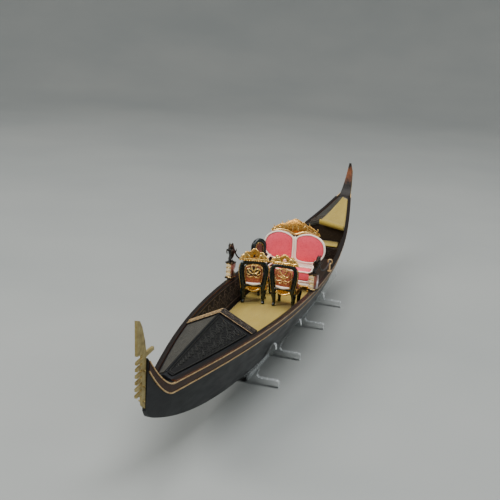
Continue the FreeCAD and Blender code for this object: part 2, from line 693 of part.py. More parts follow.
def gilt_chair(name, x, y, yaw):
    """Chair with a padded back and seat, a gilt crest and a gilt apron; it faces local +X."""
    key = name.title().replace("_", "")
    wide, deep = "ChairWide", "ChairDeep"
    legs = [leg("%sLeg%d" % (key, index), "0.8", "1.3", "SeatLow",
                "%s * (%s / 2 - 2.2)" % (sx, deep), "%s * (%s / 2 - 2.6)" % (sy, wide))
            for index, (sx, sy) in enumerate(((1, 1), (1, -1), (-1, 1), (-1, -1)))]
    seat = box(key + "Seat", deep + " - 2.2", wide + " - 3.2", "RailTall", "-(%s - 2.2) / 2" % deep,
               "-(%s - 3.2) / 2" % wide, "Stand + SeatLow")
    posts = [box("%sPost%d" % (key, index), "PostSide", "PostSide", "BackTop - SeatLow",
                 "-%s / 2 - 0.9" % deep, "%s * (%s / 2 - 1.4) - PostSide / 2" % (sy, wide),
                 "Stand + SeatLow")
             for index, sy in enumerate((1, -1))]
    rails = [box("%sRail%d" % (key, index), "PostSide", wide + " - 2.8", tall, "-%s / 2 - 0.9" % deep,
                 "-(%s - 2.8) / 2" % wide, z)
             for index, (tall, z) in enumerate((("2.4", "Stand + BackTop - 2.4"),
                                                ("2.2", "Stand + SeatLow + 1.6")))]
    furnish(name + "_frame", fuse(key + "Frame", legs + [seat] + posts + rails), x, y, yaw)
    outer = box(key + "ApronOuter", deep + " - 0.4", wide + " - 1.4", "RailTall - 0.2",
                "-(%s - 2.2) / 2" % deep, "-(%s - 1.4) / 2" % wide, "Stand + SeatLow + 0.1")
    inner = box(key + "ApronInner", deep + " - 2.0", wide + " - 3.0", "RailTall + 2",
                "-(%s - 2.0) / 2 - 0.1" % deep, "-(%s - 3.0) / 2" % wide, "Stand + SeatLow - 1")
    furnish(name + "_apron", cut(key + "Apron", outer, inner), x, y, yaw)
    seat_pad = rounded(key + "SeatPad", box(
        key + "SeatPadBlock", deep + " - 3.6", wide + " - 4.4", "3.0", "-(%s - 4.4) / 2" % deep,
        "-(%s - 4.4) / 2" % wide, "Stand + SeatLow + RailTall + 0.05"), 0.9)
    furnish(name + "_seat_pad", seat_pad, x, y, yaw)
    back_pad = rounded(key + "BackPad", box(
        key + "BackPadBlock", "2.6", wide + " - 5.2", "BackTop - SeatLow - 6.5",
        "-%s / 2 - 1.2" % deep, "-(%s - 5.2) / 2" % wide, "Stand + SeatLow + 3.95"), 0.6)
    furnish(name + "_back_pad", back_pad, x, y, yaw)
    half, low, top = size("ChairWide") / 2, size("BackTop") + 0.15, size("ChairTop")
    crest = flat_outline([(-half - 0.6, low), (half + 0.6, low), (half + 0.2, low + 2.4),
                          (4.5, low + 5.6, 0, top), (-4.5, low + 5.6), (-half - 0.2, low + 2.4)],
                         -size("ChairDeep") / 2 - 0.8, 1.7)
    furnish(name + "_crest", solid_feature(key + "Crest", crest), x, y, yaw)


def small_chair(name, x, y, yaw):
    """Small black chair with a rounded back; it faces local +X."""
    key = name.title().replace("_", "")
    side = "SideSeat"
    legs = [leg("%sLeg%d" % (key, index), "0.7", "1.1", "SeatLow - 1",
                "%s * (%s / 2 - 1.6)" % (sx, side), "%s * (%s / 2 - 1.6)" % (sy, side))
            for index, (sx, sy) in enumerate(((1, 1), (1, -1), (-1, 1), (-1, -1)))]
    seat = box(key + "Seat", side, side, "RailTall", "-%s / 2" % side, "-%s / 2" % side,
               "Stand + SeatLow - 1")
    half, low, top = size("SideSeat") / 2, size("SeatLow") + size("RailTall") - 1, size("SideTop")
    shoulder = top - half
    x0 = -half
    hoop = flat_outline([(-half + 0.6, low), (half - 0.6, low), (half, shoulder, 0, top),
                         (-half, shoulder)], x0, 1.8)
    window = flat_outline([(-half + 2.4, low + 3), (half - 2.4, low + 3),
                           (half - 1.9, shoulder - 0.5, 0, top - 2.2), (-half + 1.9, shoulder - 0.5)],
                          x0 - 1, 4.0)
    back = solid_feature(key + "Back", hoop.cut(window))
    furnish(name + "_frame", fuse(key + "Frame", legs + [seat, back]), x, y, yaw)
    pad = flat_outline([(-half + 2.5, low + 3.1), (half - 2.5, low + 3.1),
                        (half - 2.05, shoulder - 0.6, 0, top - 2.35), (-half + 2.05, shoulder - 0.6)],
                       x0 - 0.2, 2.2)
    furnish(name + "_back_pad", solid_feature(key + "BackPad", pad), x, y, yaw)
    seat_pad = rounded(key + "SeatPad", box(
        key + "SeatPadBlock", side + " - 2.6", side + " - 1.4", "2.2", "-%s / 2 + 2.1" % side,
        "-(%s - 1.4) / 2" % side, "Stand + SeatLow + RailTall - 0.95"), 0.7)
    furnish(name + "_seat_pad", seat_pad, x, y, yaw)


def sofa_panel(near, far, low, shoulder, top, x, thick):
    """Shield-shaped back panel with a rounded bottom and an arched top."""
    middle = (near + far) / 2
    return flat_outline([(near, low + 2.2, middle, low), (far, low + 2.2), (far, shoulder, middle, top),
                         (near, shoulder)], x, thick)


def love_seat(x, y):
    """Two-seat sofa with two shield-shaped back panels and a gilt crest; it faces local +X."""
    deep, base = size("SofaDeep"), size("SofaBase")
    low, top, half = size("SofaPanelLow"), size("SofaPanelTop"), size("SofaHalf")
    stand = size("Stand")
    shoulder = top - 6.0
    back_x = -deep
    rails = sofa_panel(0.0, half, low - 1.0, shoulder, top, back_x, 1.8)
    rails = rails.fuse(rails.mirror(Vector(0, 0, 0), Vector(0, 1, 0)))
    openings = sofa_panel(2.1, half - 1.7, low + 1.0, shoulder - 0.9, top - 1.9, back_x - 1, 4.0)
    openings = openings.fuse(openings.mirror(Vector(0, 0, 0), Vector(0, 1, 0)))
    board = Part.makeBox(1.8, 2 * base - 2, low - 4.6, Vector(back_x, -base + 1, 5.0))
    seat = Part.makePolygon([Vector(back_x, -base - 2, 4), Vector(0, -base - 1.6, 4),
                             Vector(0, base + 1.6, 4), Vector(back_x, base + 2, 4),
                             Vector(back_x, -base - 2, 4)])
    seat = Part.Face(seat).extrude(Vector(0, 0, 2.2))
    legs = [Part.makeCone(0.9, 1.3, 4.0, Vector(lx, ly, stand))
            for lx in (back_x + 1.5, -1.6) for ly in (-base + 1.4, 0, base - 1.4)]
    frame = rails.cut(openings).fuse([board, seat] + legs).removeSplitter()
    furnish("love_seat_frame", solid_feature("LoveSeatFrame", frame), x, y, 0)
    cushion = Part.makePolygon([Vector(back_x + 3.0, -base + 0.5, 6.3), Vector(-0.3, -base + 0.6, 6.3),
                                Vector(-0.3, base - 0.6, 6.3), Vector(back_x + 3.0, base - 0.5, 6.3),
                                Vector(back_x + 3.0, -base + 0.5, 6.3)])
    cushion = Part.Face(cushion).extrude(Vector(0, 0, 9.0))
    cushion = cushion.makeFillet(1.5, cushion.Edges)
    furnish("love_seat_cushion", solid_feature("LoveSeatCushion", cushion), x, y, 0)
    for name, side in (("port", 1), ("starboard", -1)):
        pad = sofa_panel(2.2, half - 1.8, low + 1.1, shoulder - 1.0, top - 2.0, back_x - 0.6, 3.2)
        if side < 0:
            pad = pad.mirror(Vector(0, 0, 0), Vector(0, 1, 0))
        furnish("love_seat_%s_back" % name, solid_feature("LoveSeatBack" + name, pad), x, y, 0)
        across, high, bend = side * (base + 0.8), 20.0, 6.0
        elbow = bend * (1 - math.sqrt(0.5))
        path = Part.Wire([
            Part.LineSegment(Vector(-13.2, across, high), Vector(-1.5 - bend, across, high)).toShape(),
            Part.Arc(Vector(-1.5 - bend, across, high), Vector(-1.5 - elbow, across, high - elbow),
                     Vector(-1.5, across, high - bend)).toShape(),
            Part.LineSegment(Vector(-1.5, across, high - bend),
                             Vector(-1.5, across, 6.3)).toShape()])
        rim = Part.Wire(Part.makeCircle(1.05, Vector(-13.2, across, high), Vector(1, 0, 0)))
        arm = path.makePipeShell([rim], True, True)
        furnish("love_seat_%s_arm" % name, solid_feature("LoveSeatArm" + name, arm), x, y, 0)
    peak = size("SofaTop")
    inner = shoulder + 0.2
    crest = flat_outline([
        (0.0, inner + 1.6), (half / 2, top + 0.4, 15.0, top + 0.1), (18.0, top - 1.0), (18.6, top + 0.8),
        (11.0, top + 5.0), (4.5, peak - 1.4, 0, peak), (-4.5, peak - 1.4), (-11.0, top + 5.0),
        (-18.6, top + 0.8), (-18.0, top - 1.0, -15.0, top + 0.1), (-half / 2, top + 0.4)],
        back_x, 1.8)
    clear = sofa_panel(-0.1, half + 0.1, low, shoulder + 0.1, top + 0.12, back_x - 1, 4.0)
    crest = crest.cut(clear.fuse(clear.mirror(Vector(0, 0, 0), Vector(0, 1, 0))))
    furnish("love_seat_crest", solid_feature("LoveSeatCrest", crest), x, y, 0)


# ---------------------------------------------------------------- assembly

build_stands()
build_hull()
build_side_trim()
build_decks()
build_cockpit()
build_bow_iron()
for name, side in (("port", 1), ("starboard", -1)):
    build_horse(name, side)
    build_cord(name, side)
build_rings()
gilt_chair("port_chair", "13.5", "10.5", 176)
gilt_chair("starboard_chair", "14.5", "-12.5", 192)
small_chair("side_chair", "-4.2", "-13.3", 50)
love_seat("-20.0", "1.3")

doc.recompute()
failed = [item.Name for item in doc.Objects if "Invalid" in item.State or "Error" in item.State]
for label, item in NODES.items():
    if item.Shape.isNull() or not item.Shape.isValid() or item.Shape.Volume <= 0:
        failed.append(label)
if failed:
    raise RuntimeError("failed objects: " + ", ".join(failed))
os.makedirs("parts", exist_ok=True)
whole = FreeCAD.BoundBox()
for label, item in NODES.items():
    item.Shape.exportStep("parts/%s.step" % label)
    whole.add(item.Shape.optimalBoundingBox(False, False))
print("%d nodes, box x %.2f..%.2f y %.2f..%.2f z %.2f..%.2f" % (
    len(NODES), whole.XMin, whole.XMax, whole.YMin, whole.YMax, whole.ZMin, whole.ZMax))
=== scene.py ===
import math
import random

import bpy
from mathutils import Matrix, Vector


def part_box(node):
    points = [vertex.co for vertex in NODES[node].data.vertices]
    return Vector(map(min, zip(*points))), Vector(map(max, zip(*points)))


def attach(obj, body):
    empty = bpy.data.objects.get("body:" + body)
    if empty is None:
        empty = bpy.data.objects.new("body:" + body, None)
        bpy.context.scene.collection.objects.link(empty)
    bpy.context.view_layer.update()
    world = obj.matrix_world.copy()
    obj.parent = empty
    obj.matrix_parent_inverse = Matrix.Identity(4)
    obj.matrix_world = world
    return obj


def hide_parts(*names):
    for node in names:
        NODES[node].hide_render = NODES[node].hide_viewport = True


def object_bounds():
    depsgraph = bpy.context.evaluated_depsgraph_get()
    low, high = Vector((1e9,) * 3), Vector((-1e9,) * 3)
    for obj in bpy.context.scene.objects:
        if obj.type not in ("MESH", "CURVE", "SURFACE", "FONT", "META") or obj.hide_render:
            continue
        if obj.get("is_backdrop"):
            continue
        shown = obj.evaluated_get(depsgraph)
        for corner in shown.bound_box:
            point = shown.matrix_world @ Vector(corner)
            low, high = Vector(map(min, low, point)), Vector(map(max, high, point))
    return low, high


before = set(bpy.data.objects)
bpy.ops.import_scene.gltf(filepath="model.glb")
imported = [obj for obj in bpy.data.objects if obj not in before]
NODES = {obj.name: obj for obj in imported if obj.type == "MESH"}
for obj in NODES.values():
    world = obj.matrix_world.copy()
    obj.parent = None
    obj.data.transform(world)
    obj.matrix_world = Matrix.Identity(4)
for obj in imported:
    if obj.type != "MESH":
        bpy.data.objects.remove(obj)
CAD_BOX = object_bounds()

MM = 0.001
HULL_AFT = 198.0                               # the hull ends this far aft of half length
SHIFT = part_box("hull")[0][0] + HULL_AFT * MM   # the boat's x = 0 in the row frame
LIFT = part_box("hull")[0][2]                    # underside of the boat's flat bottom
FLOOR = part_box("cockpit_carpet")[1][2]         # the furniture stands here


# ---------------------------------------------------------------- hull lines, boat frame

def run_fraction(x):
    away = x - 10.0
    return min(1.0, away / 215.0 if away > 0 else -away / 235.0)


def half_beam(x):
    return 1.0 + 28.7 * (1 - run_fraction(x) ** 2.2) ** 1.2


def sheer(x):
    fraction = run_fraction(x)
    if x > 10.0:
        return 27.8 + 3.2 * fraction + 24.0 * (max(0.0, x - 200.0) / 24.5) ** 1.6
    return 27.8 + 29.5 * fraction ** 2.8


def bottom(x):
    fraction = run_fraction(x)
    if x > 10.0:
        return 22.0 * fraction ** 5.2 + 2.4 * max(0.0, (x - 216.0) / 5.0) ** 2
    return 44.0 * fraction ** 4.73


def side_at(x, z):
    low, beam = bottom(x), half_beam(x)
    part = (z - low) / (sheer(x) - low)
    flat = 0.58 * beam
    return flat + (beam - flat) * part + 0.12 * beam * part * (1 - part)


def deck_edge(x):
    return half_beam(x) - 2.0


def slope_height(x, y, pitch):
    """Top of a gabled deck."""
    return sheer(x) + 0.3 + pitch * (deck_edge(x) - abs(y))


# ---------------------------------------------------------------- mesh tools

def boat(x, y, z):
    return Vector((x * MM + SHIFT, y * MM, z * MM + LIFT))


def furniture(x, y, yaw):
    """Where a furniture piece's own frame lies: station, offset from the centre line, turn."""
    cos, sin = math.cos(math.radians(yaw)), math.sin(math.radians(yaw))

    def to_row(lx, ly, lz):
        return Vector(((x + lx * cos - ly * sin) * MM + SHIFT,
                       (y + lx * sin + ly * cos) * MM, FLOOR + lz * MM))
    return to_row


def between(a, b, t):
    return a + (b - a) * t


def smooth(points, per=6, closed=False):
    """Points along a smooth line through the given points."""
    points = [Vector(p) for p in points]
    count = len(points)
    if closed:
        get = lambda i: points[i % count]
    else:
        get = lambda i: points[max(0, min(count - 1, i))]
    line = []
    for i in range(count if closed else count - 1):
        a, b, c, d = get(i - 1), get(i), get(i + 1), get(i + 2)
        for step in range(per):
            t = step / per
            line.append(0.5 * (2 * b + (c - a) * t + (2 * a - 5 * b + 4 * c - d) * t ** 2
                               + (3 * b - a - 3 * c + d) * t ** 3))
    if not closed:
        line.append(points[-1].copy())
    return line


def plane(*points):
    """A plane line or outline through the points given."""
    return [Vector(p) for p in points]


def straight(half, v, steps):
    """Plane points at one height, from -half to half."""
    return [Vector((half * i / steps, v)) for i in range(-steps, steps + 1)]


def circle(radius, steps, centre=(0.0, 0.0, 0.0)):
    """A level circle of space points."""
    x, y, z = centre
    return [(x + radius * math.cos(a), y + radius * math.sin(a), z)
            for a in (2 * math.pi * i / steps for i in range(steps))]


def mirrored(points):
    """The same plane points on the other side of u = 0."""
    return [Vector((-p[0], p[1])) for p in points]


def flatways(u, v, w):
    """Lays plane points level."""
    return u, v, w


def put(made):
    """Adds an object to the scene."""
    bpy.context.scene.collection.objects.link(made)
    return made


def curl(start, heading, length, bend, end_bend, count=22, grow=2.0):
    """A plane scroll: it starts along heading (degrees) and its curvature (radians per
    millimetre) grows from bend to end_bend."""
    at, angle, path = Vector(start), math.radians(heading), []
    step = length / count
    for i in range(count + 1):
        path.append(at.copy())
        angle += step * between(bend, end_bend, (i / count) ** grow)
        at = at + Vector((math.cos(angle), math.sin(angle))) * step
    return path


def inset(outline, distance):
    """A closed plane outline, counter-clockwise, moved inwards."""
    count, moved = len(outline), []
    for i, p in enumerate(outline):
        before, after = outline[i - 1], outline[(i + 1) % count]
        along = (after - before).normalized()
        moved.append(p + Vector((-along.y, along.x)) * distance)
    return moved


def value_at(values, t):
    """Interpolates evenly spaced values at 0..1."""
    if isinstance(values, (int, float)):
        return values
    spot = t * (len(values) - 1)
    low = min(int(spot), len(values) - 2)
    return between(values[low], values[low + 1], spot - low)


class Shape:
    """A mesh in the making. place turns its millimetres into the row frame; each point has a
    tone, 0 in the hollows and 1 on the crowns, which the materials read; several of them paint
    shade in the hollows and highlights on the crowns from it."""

    def __init__(self, place=boat):
        self.place = place
        self.points, self.tones, self.faces, self.slots = [], [], [], []

    def add(self, points, faces, slot=0, tones=None):
        base = len(self.points)
        self.points += [self.place(*p) for p in points]
        self.tones += tones or [1.0] * len(points)
        self.faces += [tuple(base + i for i in face) for face in faces]
        self.slots += [slot] * len(faces)

    def rings(self, rings, slot=0, tones=None, closed=False, capped=True):
        """Skins a row of rings that have the same number of points."""
        width = len(rings[0])
        points = [p for ring in rings for p in ring]
        faces = []
        count = len(rings)
        for r in range(count if closed else count - 1):
            a, b = r * width, (r + 1) % count * width
            for i in range(width):
                j = (i + 1) % width
                faces.append((a + i, a + j, b + j, b + i))
        if capped and not closed:
            last = (count - 1) * width
            faces.append(tuple(range(width - 1, -1, -1)))
            faces.append(tuple(last + i for i in range(width)))
        self.add(points, faces, slot, tones)

    def tube(self, path, radius, sides=10, flat=1.0, closed=False, slot=0, up=(0, 0, 1)):
        """A round or flattened bar along a space path, with rounded ends. flat is its
        thickness along up over its width."""
        path = [Vector(p) for p in path]
        count, rings, tones = len(path), [], []
        normal = Vector(up)
        for i, p in enumerate(path):
            if closed:
                along = path[(i + 1) % count] - path[i - 1]
            else:
                along = path[min(i + 1, count - 1)] - path[max(i - 1, 0)]
            along.normalize()
            normal = (normal - along * normal.dot(along))
            normal = normal.normalized() if normal.length > 1e-6 else along.orthogonal().normalized()
            across = along.cross(normal)
            r = value_at(radius, i / max(1, count - (0 if closed else 1)))
            steps = [(0.0, 1.0)]
            if not closed and i in (0, count - 1):
                sign = -1 if i == 0 else 1
                steps = [(0.0, 1.0), (0.55 * sign, 0.8), (0.85 * sign, 0.35)]
                if i == 0:
                    steps.reverse()
            for out, share in steps:
                ring = []
                for k in range(sides):
                    turn = 2 * math.pi * k / sides
                    ring.append(p + along * (out * r) + across * (r * share * math.cos(turn))
                                + normal * (r * flat * share * math.sin(turn)))
                    # tone 1 on the side toward up, 0 on the far side: painted highlight and painted shade
                    # where a material reads it
                    tones.append(0.5 + 0.5 * math.sin(turn))
                rings.append(ring)
        self.rings(rings, slot, tones, closed)

    def stroke(self, path, radius, warp, flat=0.8, sides=8, slot=0, closed=False, both=False):
        """A raised line along a plane path; warp(u, v, w) lays it on a surface. Its underside
        is shallow unless it is seen from both faces."""
        count, rings, tones = len(path), [], []
        for i, p in enumerate(path):
            if closed:
                along = path[(i + 1) % count] - path[i - 1]
            else:
                along = path[min(i + 1, count - 1)] - path[max(i - 1, 0)]
            along = along.normalized() if along.length > 1e-9 else Vector((1, 0))
            across = Vector((-along.y, along.x))
            r = value_at(radius, i / max(1, count - 1))
            steps = [(0.0, 1.0)]
            if not closed and i in (0, count - 1):
                sign = -1 if i == 0 else 1
                steps = [(0.0, 1.0), (0.7 * sign, 0.6)]
                if i == 0:
                    steps.reverse()
            for out, share in steps:
                ring = []
                for k in range(sides):
                    turn = 2 * math.pi * k / sides
                    spot = p + along * (out * r) + across * (r * share * math.cos(turn))
                    rise = r * flat * share * math.sin(turn)
                    if rise < 0 and not both:
                        rise *= 0.4
                    ring.append(warp(spot.x, spot.y, rise))
                    # tone 1 on the raised crown (on both faces with both), lower towards the foot: painted
                    # highlight and painted shade where a material reads it
                    tones.append(abs(math.sin(turn)) if both else 0.5 + 0.5 * math.sin(turn))
                rings.append(ring)
        self.rings(rings, slot, tones, closed)

    def ribbon(self, outline, warp, low, high, bevel=0.25, slot=0, tone=1.0):
        """A plate between two heights with eased edges."""
        inner = inset(outline, bevel)
        levels = [(inner, low), (outline, low + bevel), (outline, high - bevel), (inner, high)]
        rings = [[warp(p.x, p.y, w) for p in ring] for ring, w in levels]
        self.rings(rings, slot, [tone] * (4 * len(outline)))

    def ring_plate(self, outer, inner, warp, low, high, bevel=0.2, slot=0, tone=1.0):
        """A plate with an opening; both outlines have the same number of points."""
        levels = [(inset(outer, bevel), low), (outer, low + bevel), (outer, high - bevel),
                  (inset(outer, bevel), high), (inset(inner, -bevel), high),
                  (inner, high - bevel), (inner, low + bevel), (inset(inner, -bevel), low)]
        rings = [[warp(p.x, p.y, w) for p in ring] for ring, w in levels]
        self.rings(rings, slot, [tone] * (8 * len(outer)), closed=True)

    def bead(self, centre, radius, slot=0, rings=5, sides=8, tall=1.0):
        """A small ball, stretched along z by tall."""
        x, y, z = centre
        points, faces = [(x, y, z - radius * tall)], []
        for r in range(1, rings):
            lean = math.pi * r / rings
            for k in range(sides):
                turn = 2 * math.pi * k / sides
                points.append((x + radius * math.sin(lean) * math.cos(turn),
                               y + radius * math.sin(lean) * math.sin(turn),
                               z - radius * tall * math.cos(lean)))
        points.append((x, y, z + radius * tall))
        for k in range(sides):
            j = (k + 1) % sides
            faces.append((0, 1 + j, 1 + k))
            for r in range(rings - 2):
                a, b = 1 + r * sides, 1 + (r + 1) * sides
                faces.append((a + k, a + j, b + j, b + k))
            last = 1 + (rings - 2) * sides
            faces.append((last + k, last + j, len(points) - 1))
        self.add(points, faces, slot)

    def piece(self, name, body, slots, replaces=(), subdivide=0, flat=False):
        """Makes the object, with one material for each of the record's slots named."""
        mesh = bpy.data.meshes.new(name)
        mesh.from_pydata([tuple(p) for p in self.points], [], self.faces)
        mesh.validate()
        tone = mesh.attributes.new("tone", "FLOAT", "POINT")
        tone.data.foreach_set("value", self.tones[:len(mesh.vertices)])
        for slot in slots:
            mesh.materials.append(MATERIALS[slot])
        mesh.polygons.foreach_set("material_index", self.slots)
        mesh.polygons.foreach_set("use_smooth", [not flat] * len(mesh.polygons))
        mesh.update()
        made = put(bpy.data.objects.new(name, mesh))
        if subdivide:
            extra = made.modifiers.new("Subdivision", "SUBSURF")
            extra.levels = extra.render_levels = subdivide
        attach(made, body)
        RECORD_SLOTS.get(slots[0], slots[0])
        if replaces:
            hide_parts(*replaces)
        return made


# ---------------------------------------------------------------- materials

class Paint:
    """A Principled material with short calls for the nodes that vary it over the surface."""

    def __init__(self, name, **sockets):
        self.data = bpy.data.materials.new(name)
        self.data.use_nodes = True
        self.tree = self.data.node_tree
        self.shader = self.tree.nodes["Principled BSDF"]
        for socket, value in sockets.items():
            self.shader.inputs[socket.replace("_", " ")].default_value = value
        self.place = self.tree.nodes.new("ShaderNodeTexCoord").outputs["Object"]

    def node(self, kind, inputs=None, **settings):
        made = self.tree.nodes.new(kind)
        for key, value in settings.items():
            setattr(made, key, value)
        for key, value in (inputs or {}).items():
            if hasattr(value, "is_linked"):
                self.tree.links.new(value, made.inputs[key])
            else:
                made.inputs[key].default_value = value
        return made

    def spread(self, stretch=(1, 1, 1), turn=(0, 0, 0)):
        """Object coordinates in millimetres, stretched and turned."""
        scale = [1 / MM * s for s in stretch]
        return self.node("ShaderNodeMapping", {"Vector": self.place, "Scale": scale,
                                               "Rotation": turn}).outputs[0]

    def noise(self, scale, detail=3.0, stretch=(1, 1, 1), turn=(0, 0, 0), rough=0.55):
        return self.node("ShaderNodeTexNoise", {
            "Vector": self.spread(stretch, turn), "Scale": scale, "Detail": detail,
            "Roughness": rough}).outputs["Fac"]

    def wave(self, scale, stretch=(1, 1, 1), turn=(0, 0, 0)):
        return self.node("ShaderNodeTexWave", {
            "Vector": self.spread(stretch, turn), "Scale": scale, "Detail": 2.0}).outputs["Fac"]

    def cells(self, scale):
        return self.node("ShaderNodeTexVoronoi", {"Vector": self.spread(), "Scale": scale}).outputs[0]

    def tone(self):
        return self.node("ShaderNodeAttribute", attribute_name="tone").outputs["Fac"]

    def height(self):
        """Height above the row frame's floor, in millimetres."""
        return self.node("ShaderNodeSeparateXYZ", {0: self.spread()}).outputs[2]

    def facing(self, axis):
        """How far the surface faces along an axis, -1 to 1."""
        normal = self.node("ShaderNodeTexCoord").outputs["Normal"]
        return self.node("ShaderNodeSeparateXYZ", {0: normal}).outputs[axis]

    def math(self, operation, a, b=0.0, clamp=False):
        return self.node("ShaderNodeMath", {0: a, 1: b}, operation=operation,
                         use_clamp=clamp).outputs[0]

    def fit(self, value, low, high, to_low=0.0, to_high=1.0):
        return self.node("ShaderNodeMapRange", {
            "Value": value, "From Min": low, "From Max": high, "To Min": to_low,
            "To Max": to_high}).outputs[0]

    def ramp(self, value, *stops):
        made = self.node("ShaderNodeValToRGB", {0: value})
        row = made.color_ramp.elements
        while len(row) < len(stops):
            row.new(1.0)
        for element, (place, colour) in zip(row, stops):
            element.position = place
            element.color = (*colour, 1)
        return made.outputs[0]

    def mix(self, share, a, b):
        made = self.node("ShaderNodeMix", {"Factor": share}, data_type="RGBA")
        for socket, value in (("A_Color", a), ("B_Color", b)):
            target = next(s for s in made.inputs if s.identifier == socket)
            if hasattr(value, "is_linked"):
                self.tree.links.new(value, target)
            else:
                target.default_value = (*value, 1)
        return next(s for s in made.outputs if s.identifier == "Result_Color")

    def set(self, colour=None, rough=None, metal=None, bump=None, depth=0.1, strength=1.0):
        """Links what varies; depth is the height of the bump in millimetres."""
        links = self.tree.links
        if colour is not None:
            links.new(colour, self.shader.inputs["Base Color"])
        if rough is not None:
            links.new(rough, self.shader.inputs["Roughness"])
        if metal is not None:
            links.new(metal, self.shader.inputs["Metallic"])
        if bump is not None:
            raised = self.node("ShaderNodeBump", {"Height": bump, "Distance": depth * MM,
                                                  "Strength": strength})
            links.new(raised.outputs[0], self.shader.inputs["Normal"])
        return self.data


def black_lacquer():
    """Gloss black lacquer with fine brush lines along the boat, dust and rubbed patches."""
    p = Paint("black_lacquer", Specular_IOR_Level=0.24)
    brushed = p.noise(0.9, 4, (0.05, 1.3, 1.3))
    dust = p.fit(p.noise(1.6, 5), 0.56, 0.74)
    colour = p.mix(p.fit(brushed, 0.35, 0.7, 0.0, 0.6), (0.005, 0.0055, 0.0065), (0.012, 0.013, 0.015))
    colour = p.mix(p.math("MULTIPLY", dust, 0.2), colour, (0.045, 0.044, 0.04))
    rough = p.fit(p.noise(0.25, 3, (0.3, 1, 1)), 0.3, 0.7, 0.3, 0.44)
    return p.set(colour, rough, bump=brushed, depth=0.03, strength=0.35)


def wood_paint(name, dark, mid, light):
    """Stained wood with grain along the boat, lighter where edges are rubbed."""
    p = Paint(name, Specular_IOR_Level=0.25)
    grain = p.noise(1.5, 6, (0.08, 1, 1), rough=0.62)
    colour = p.ramp(grain, (0.32, dark), (0.52, mid), (0.74, light))
    wear = p.fit(p.noise(0.8, 5), 0.58, 0.75, 0, 0.35)
    colour = p.mix(wear, colour, tuple(min(1.0, 1.9 * c + 0.02) for c in light))
    return p.set(colour, p.fit(grain, 0.3, 0.7, 0.32, 0.54), bump=grain,
                 depth=0.08, strength=0.4)


def rail_paint():
    """The gunwale's lacquer, coloured by facing: near black where it faces up, reddish brown on the faces
    that stand; that reddish brown is a painted glint over the brown grain.
    """
    p = Paint("gunwale_brown", Specular_IOR_Level=0.2)
    grain = p.noise(1.5, 6, (0.08, 1, 1), rough=0.62)
    brown = p.ramp(grain, (0.32, (0.03, 0.01, 0.005)), (0.52, (0.085, 0.03, 0.014)),
                   (0.74, (0.2, 0.085, 0.04)))
    # the facing picks the colour: up-facing near black, standing faces reddish brown as a painted glint
    top = p.fit(p.math("ADD", p.facing(2), p.fit(grain, 0.3, 0.7, -0.06, 0.06)), 0.72, 0.93)
    colour = p.mix(top, brown, (0.009, 0.006, 0.005))
    return p.set(colour, p.fit(grain, 0.3, 0.7, 0.36, 0.55), bump=grain, depth=0.06, strength=0.4)


def gold_paint():
    """Tan-gold line paint, a little uneven and rubbed to brown in places."""
    p = Paint("gold_trim", Specular_IOR_Level=0.5)
    patch = p.noise(0.8, 5, (0.35, 1, 1))
    colour = p.ramp(patch, (0.3, (0.24, 0.12, 0.045)), (0.42, (0.5, 0.32, 0.14)),
                    (0.62, (0.64, 0.45, 0.22)), (0.8, (0.78, 0.6, 0.34)))
    return p.set(colour, p.fit(patch, 0.3, 0.7, 0.5, 0.34), p.fit(patch, 0.3, 0.5, 0.1, 0.45),
                 patch, 0.05, 0.5)


def gilding():
    """Cast and gilded metal, dark brown in the hollows and near white on the crowns: the dark is partly a
    wash and partly painted shade; the near white is a painted highlight.
    """
    p = Paint("gilt", Specular_IOR_Level=0.6)
    patch = p.noise(1.4, 5)
    height = p.math("ADD", p.tone(), p.fit(patch, 0.3, 0.7, -0.28, 0.2), True)
    # dark brown hollows: partly wash, partly painted shade; near-white crowns: painted highlight
    colour = p.ramp(height, (0.12, (0.14, 0.035, 0.006)), (0.42, (0.8, 0.4, 0.07)),
                    (0.92, (1.0, 0.74, 0.3)))
    return p.set(colour, p.fit(patch, 0.3, 0.7, 0.2, 0.38), p.fit(height, 0.1, 0.5, 0.55, 1.0),
                 p.noise(3.5, 4), 0.07, 0.6)


def carved_paint(name, hollow, face, crown, gloss):
    """Carving under dark paint: matt in the hollows, a dry sheen on the crowns; its colour runs from the
    hollow colour to the crown colour, painted shade in the hollows and a painted highlight on the crowns.
    """
    p = Paint(name, Specular_IOR_Level=0.22)
    patch = p.noise(1.1, 5)
    height = p.math("MULTIPLY", p.tone(), p.fit(patch, 0.3, 0.65, 0.55, 1.0))
    # hollow colour: painted shade; crown colour: painted highlight
    colour = p.ramp(height, (0.2, hollow), (0.6, face), (1.0, crown))
    return p.set(colour, p.fit(height, 0.2, 0.9, gloss + 0.25, gloss), bump=p.noise(2.6, 5),
                 depth=0.1, strength=0.55)


def grey_panel():
    """Fine ribbed leathercloth with a soft sheen; its grey colour is a painted reflection, the sheen of a
    dark slope painted in.
    """
    p = Paint("grey_panel", Specular_IOR_Level=0.3)
    weave = p.math("MULTIPLY", p.wave(1.1, turn=(0, 0, 0.78)), p.wave(1.1, turn=(0, 0, -0.78)))
    patch = p.noise(0.5, 5, (0.4, 1, 1))
    # grey ramp: painted reflection; the slopes are dark and look grey from the sheen they show
    colour = p.ramp(patch, (0.3, (0.018, 0.017, 0.014)), (0.7, (0.055, 0.051, 0.042)))
    colour = p.mix(p.math("MULTIPLY", weave, 0.4), colour, (0.07, 0.066, 0.055))
    return p.set(colour, p.fit(patch, 0.3, 0.7, 0.3, 0.5), bump=weave, depth=0.12, strength=0.5)


